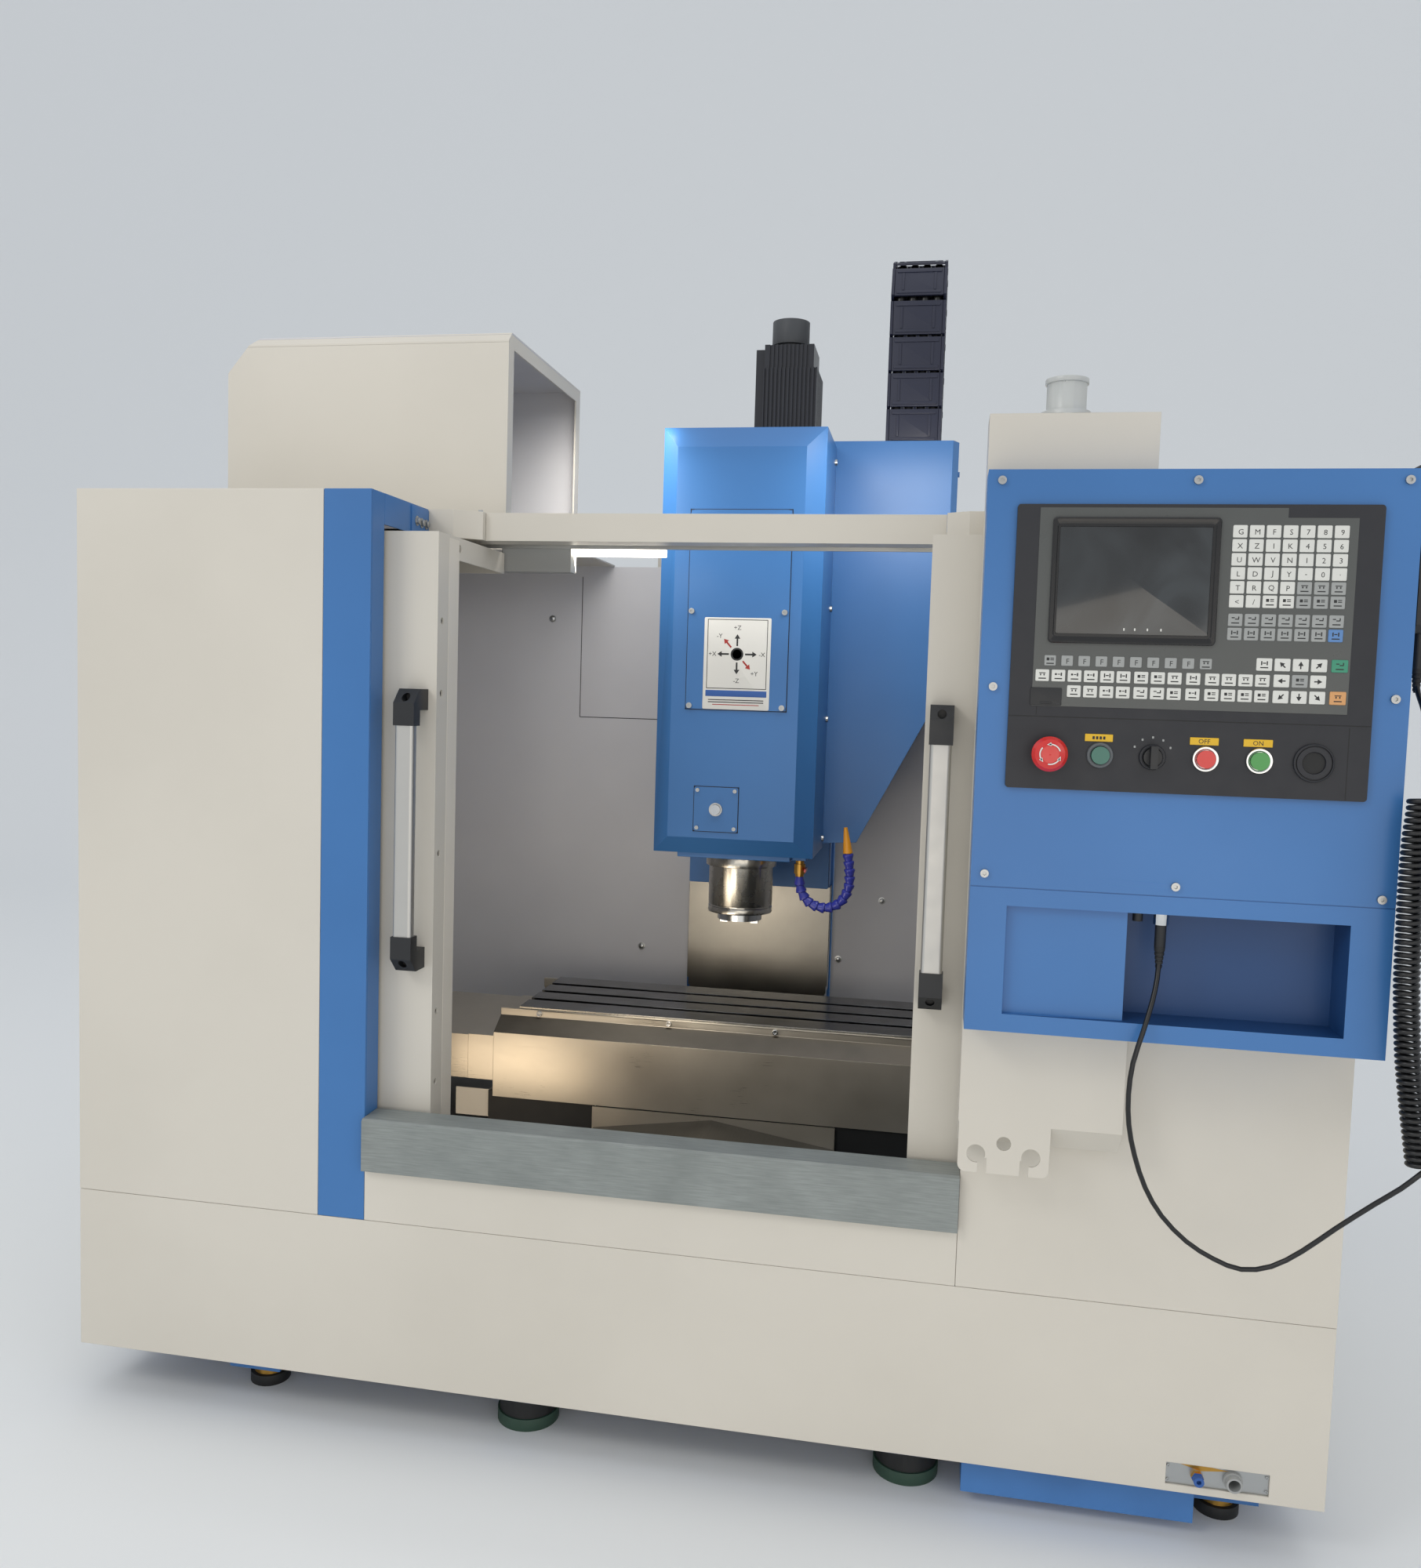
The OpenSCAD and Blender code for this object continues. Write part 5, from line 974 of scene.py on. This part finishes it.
def chain_link(a, b):
    """One link: two cheeks with waisted inner ends, an outer and an inner lid, ribs and pins."""
    middle, along = (a + b) / 2, (b - a) / np.linalg.norm(b - a)
    across = np.cross(along, X)
    h = np.linalg.norm(b - a) / 2 - 0.15
    cheek = [(-12, -h), (0, -h), (10, 4.5 - h), (20, 9.3 - h), (20, h - 9.3), (10, h - 4.5),
             (0, h), (-12, h), (-20, h - 3), (-20, 3 - h)]
    made = [extruded(cheek, middle + x * X, 5.2, across, along) for x in (46.5, -51.7)]
    made += [slab(middle - 15 * across, 93, 2 * h - 4, 3.6, 2, 1.2, X, along),
             slab(middle + 15 * across, 93, 2 * h - 20, 4.4, 2, 1.2, -X, along)]
    rib = middle - 18.4 * across
    pin = [(6.4, 0), (6.4, 0.5), (5.6, 0.8), (0, 0.8)]
    for side in (-1, 1):
        made.append(slab(rib + side * (h - 9) * along, 84, 6, 1.5, 1.5, 0.8, X, along))
        made.append(slab(rib + side * 30 * X, 5, 2 * h - 26, 1.5, 1.5, 0.8, X, along))
        made.append(turned(pin, middle + side * 51.7 * X, side * X, 20))
    return made


def make_chain():
    """The chain moves with the head as one piece. Its last link is left out, and a fixed channel
    stands inside the hollow of the falling run instead, so that it stays joined at every height.
    The cables inside are shown up to the end of the bend."""
    length = CHAIN_RISE + CHAIN_TURN + CHAIN_TOP - CHAIN_TO
    stops = [chain_point(k * length / LINKS) for k in range(LINKS)]
    links = [surface for a, b in zip(stops[:-1], stops[1:]) for surface in chain_link(a, b)]
    inside = np.array([chain_point(s) for s in np.linspace(12, CHAIN_RISE + 3 * CHAIN_BEND, 30)])
    cables = [swept(inside + x * X, 9, 10) for x in (-34, -11, 12, 35)]
    chain = piece("cable_chain_links", "head",
                  [(CHAIN_NYLON, links), (CORD_PVC, cables)], 40)
    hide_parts("cable_chain")
    foot = np.array((CHAIN_X, CHAIN_Y + 2 * CHAIN_BEND, CHAIN_TO + 0.2))
    section = [(-38, -6), (38, -6), (38, 6), (35, 6), (35, -3), (-35, -3), (-35, 6), (-38, 6)]
    channel = [extruded(section, foot, 420, X, Y), slab(foot - 12 * Y, 96, 20, 3, 2, 0.6, X, Y)]
    bolts = bolt(foot + (-30, -12, 3), 4, Z) + bolt(foot + (30, -12, 3), 4, Z)
    piece("cable_chain_channel", "frame", [(GALVANISED, channel), (ZINC, bolts)], 40)


make_chain()


# Small pieces of the enclosure

# Heights of the holes in each door's closing face; a black disc inside each is painted shade for
# the hollow door behind
HOLE_HEIGHTS = (1190, 1086, 852, 618, 512)


def make_door_details():
    """Band of paler cream on the closing face of each door, a painted highlight for the lit lip at
    its rear edge, and black discs just inside the holes of that face, painted shade for the dark
    hollow of the door behind them.
    """
    bottom, top = low("door_left")[2], high("door_left")[2]
    for side, edge, way in (("left", high("door_left")[0], 1), ("right", low("door_right")[0], -1)):
        band = slab((edge, 108.5, (bottom + top) / 2 - 14), 37, top - bottom - 38, 0.3, 0.4, 0.1,
                    right=way * Y)
        # black disc inside each hole: painted shade
        hole_shade_discs = [turned([(6.4, 0), (6.4, 1.2), (0, 1.2)], (edge - 4.4 * way, 67, z), way * X, 20)
                 for z in HOLE_HEIGHTS]
        piece("door_edge_" + side, side + "_door",
              [(LIP_HIGHLIGHT_CREAM, [band]), (RUBBER, hole_shade_discs)])


def make_post_plate():
    """Joint plate with three bolts on the inner face of the blue top flange."""
    x, top = high("blue_post")[0], high("blue_post")[2]
    plate = slab((x, 163, top - 23), 62, 41, 2.0, 1.5, 0.6, right=Y)
    bolts = []
    for y, z in ((149, -24), (166, -25), (183, -25)):
        bolts += bolt((x + 2, y, top + z), 5, X)
    piece("post_joint_plate", "frame", [(BLUE, [plate]), (ZINC, bolts)], 40)


def make_wall_details():
    """Sheet seams and bolts of the back wall inside the work area."""
    y = high("side_back_panels")[1] - 3.1
    seams = [slab((x, y, z), w, h, 0.2, 0.3, 0.1) for x, z, w, h in (
        (-410, 1191, 1.6, 303), (-322, 1040, 176, 1.6), (505, 900, 1.6, 900))]
    bolts = []
    for x, z in ((-476, 1251), (258, 675), (171, 545), (-258, 545)):
        bolts += bolt((x, y, z), 5)
    piece("back_wall_joints", "frame", [(RUBBER, seams), (ZINC, bolts)], 40)


make_door_details()
make_post_plate()
make_wall_details()


# Floor, light and finish


FLOOR_SIDE, FLOOR_FRONT, FLOOR_BACK = 15000.0, -9000.0, 4200.0
BACKDROP_BEND, BACKDROP_TOP = 2500.0, 9000.0


def make_stage():
    """Pale floor that rises into a backdrop far behind: a flat run, a quarter circle, a wall."""
    turn = np.linspace(0, math.pi / 2, 12)
    run = [(FLOOR_FRONT, 0.0)]
    run += [(FLOOR_BACK + BACKDROP_BEND * math.sin(a), BACKDROP_BEND * (1 - math.cos(a)))
            for a in turn]
    run.append((FLOOR_BACK + BACKDROP_BEND, BACKDROP_TOP))
    across = np.linspace(-FLOOR_SIDE, FLOOR_SIDE, 9)
    grid = np.array([[(x, y, z) for x in across] for y, z in run])
    mesh = bpy.data.meshes.new("floor")
    mesh.from_pydata(to_frame(grid.reshape(-1, 3)), [], grid_faces(len(run), len(across), False))
    mesh.shade_smooth()
    mesh.materials.append(start_material("painted_concrete_pale", "#ebeef0", 0.7)[0])
    floor = bpy.data.objects.new("floor", mesh)
    bpy.context.scene.collection.objects.link(floor)


def area_light(name, place, aim, size, power, colour):
    """Rectangular light; size in metres, power in watts."""
    data = bpy.data.lights.new(name, "AREA")
    data.shape = "RECTANGLE"
    data.size, data.size_y = size
    data.energy = power
    data.color = to_linear(colour)[:3]
    light = bpy.data.objects.new(name, data)
    light.location = to_frame(place)
    way = Vector(to_frame(aim) - to_frame(place))
    light.rotation_euler = way.to_track_quat("-Z", "Y").to_euler()
    bpy.context.scene.collection.objects.link(light)


SKY_STRENGTH = 0.8
# Name, place, what it points at, size, power, colour. Those in the work area stand in for the
# light of the hall that comes in through the open top
LIGHTS = [
    ("overhead", (0, 300, 4200), (0, 300, 0), (4.5, 3.5), 15, "#ffffff"),
    ("key", (-2200, -2600, 3300), (100, 200, 800), (1.3, 1.0), 27, "#fffdf8"),
    ("front_right", (3000, -2800, 2200), (200, 300, 800), (2.2, 1.8), 8, "#fffaf2"),
    ("front_low", (700, -2800, 700), (400, 0, 300), (2.4, 1.2), 11, "#fff3e2"),
    ("well_left", (-250, 470, 1500), (-150, 985, 700), (0.2, 0.3), 1.3, "#fffaf2"),
    ("well_right", (290, 430, 1500), (250, 985, 700), (0.2, 0.3), 1.3, "#fffaf2"),
    ("table_glow", (-330, 150, 345), (-270, 457, 385), (0.5, 0.12), 0.8, "#ffe9cc"),
    ("nose_glow", (-120, 330, 560), (0, 704, 700), (0.2, 0.1), 0.35, "#fff1dc"),
]


def make_light():
    """Soft pale sky and the area lights."""
    world = bpy.data.worlds.new("soft_sky")
    bpy.context.scene.world = world
    world.use_nodes = True
    back = world.node_tree.nodes["Background"]
    back.inputs["Color"].default_value = to_linear("#eef0f3")
    back.inputs["Strength"].default_value = SKY_STRENGTH
    for light in LIGHTS:
        area_light(*light)


make_stage()
make_light()
bpy.context.scene.view_settings.view_transform = "Standard"
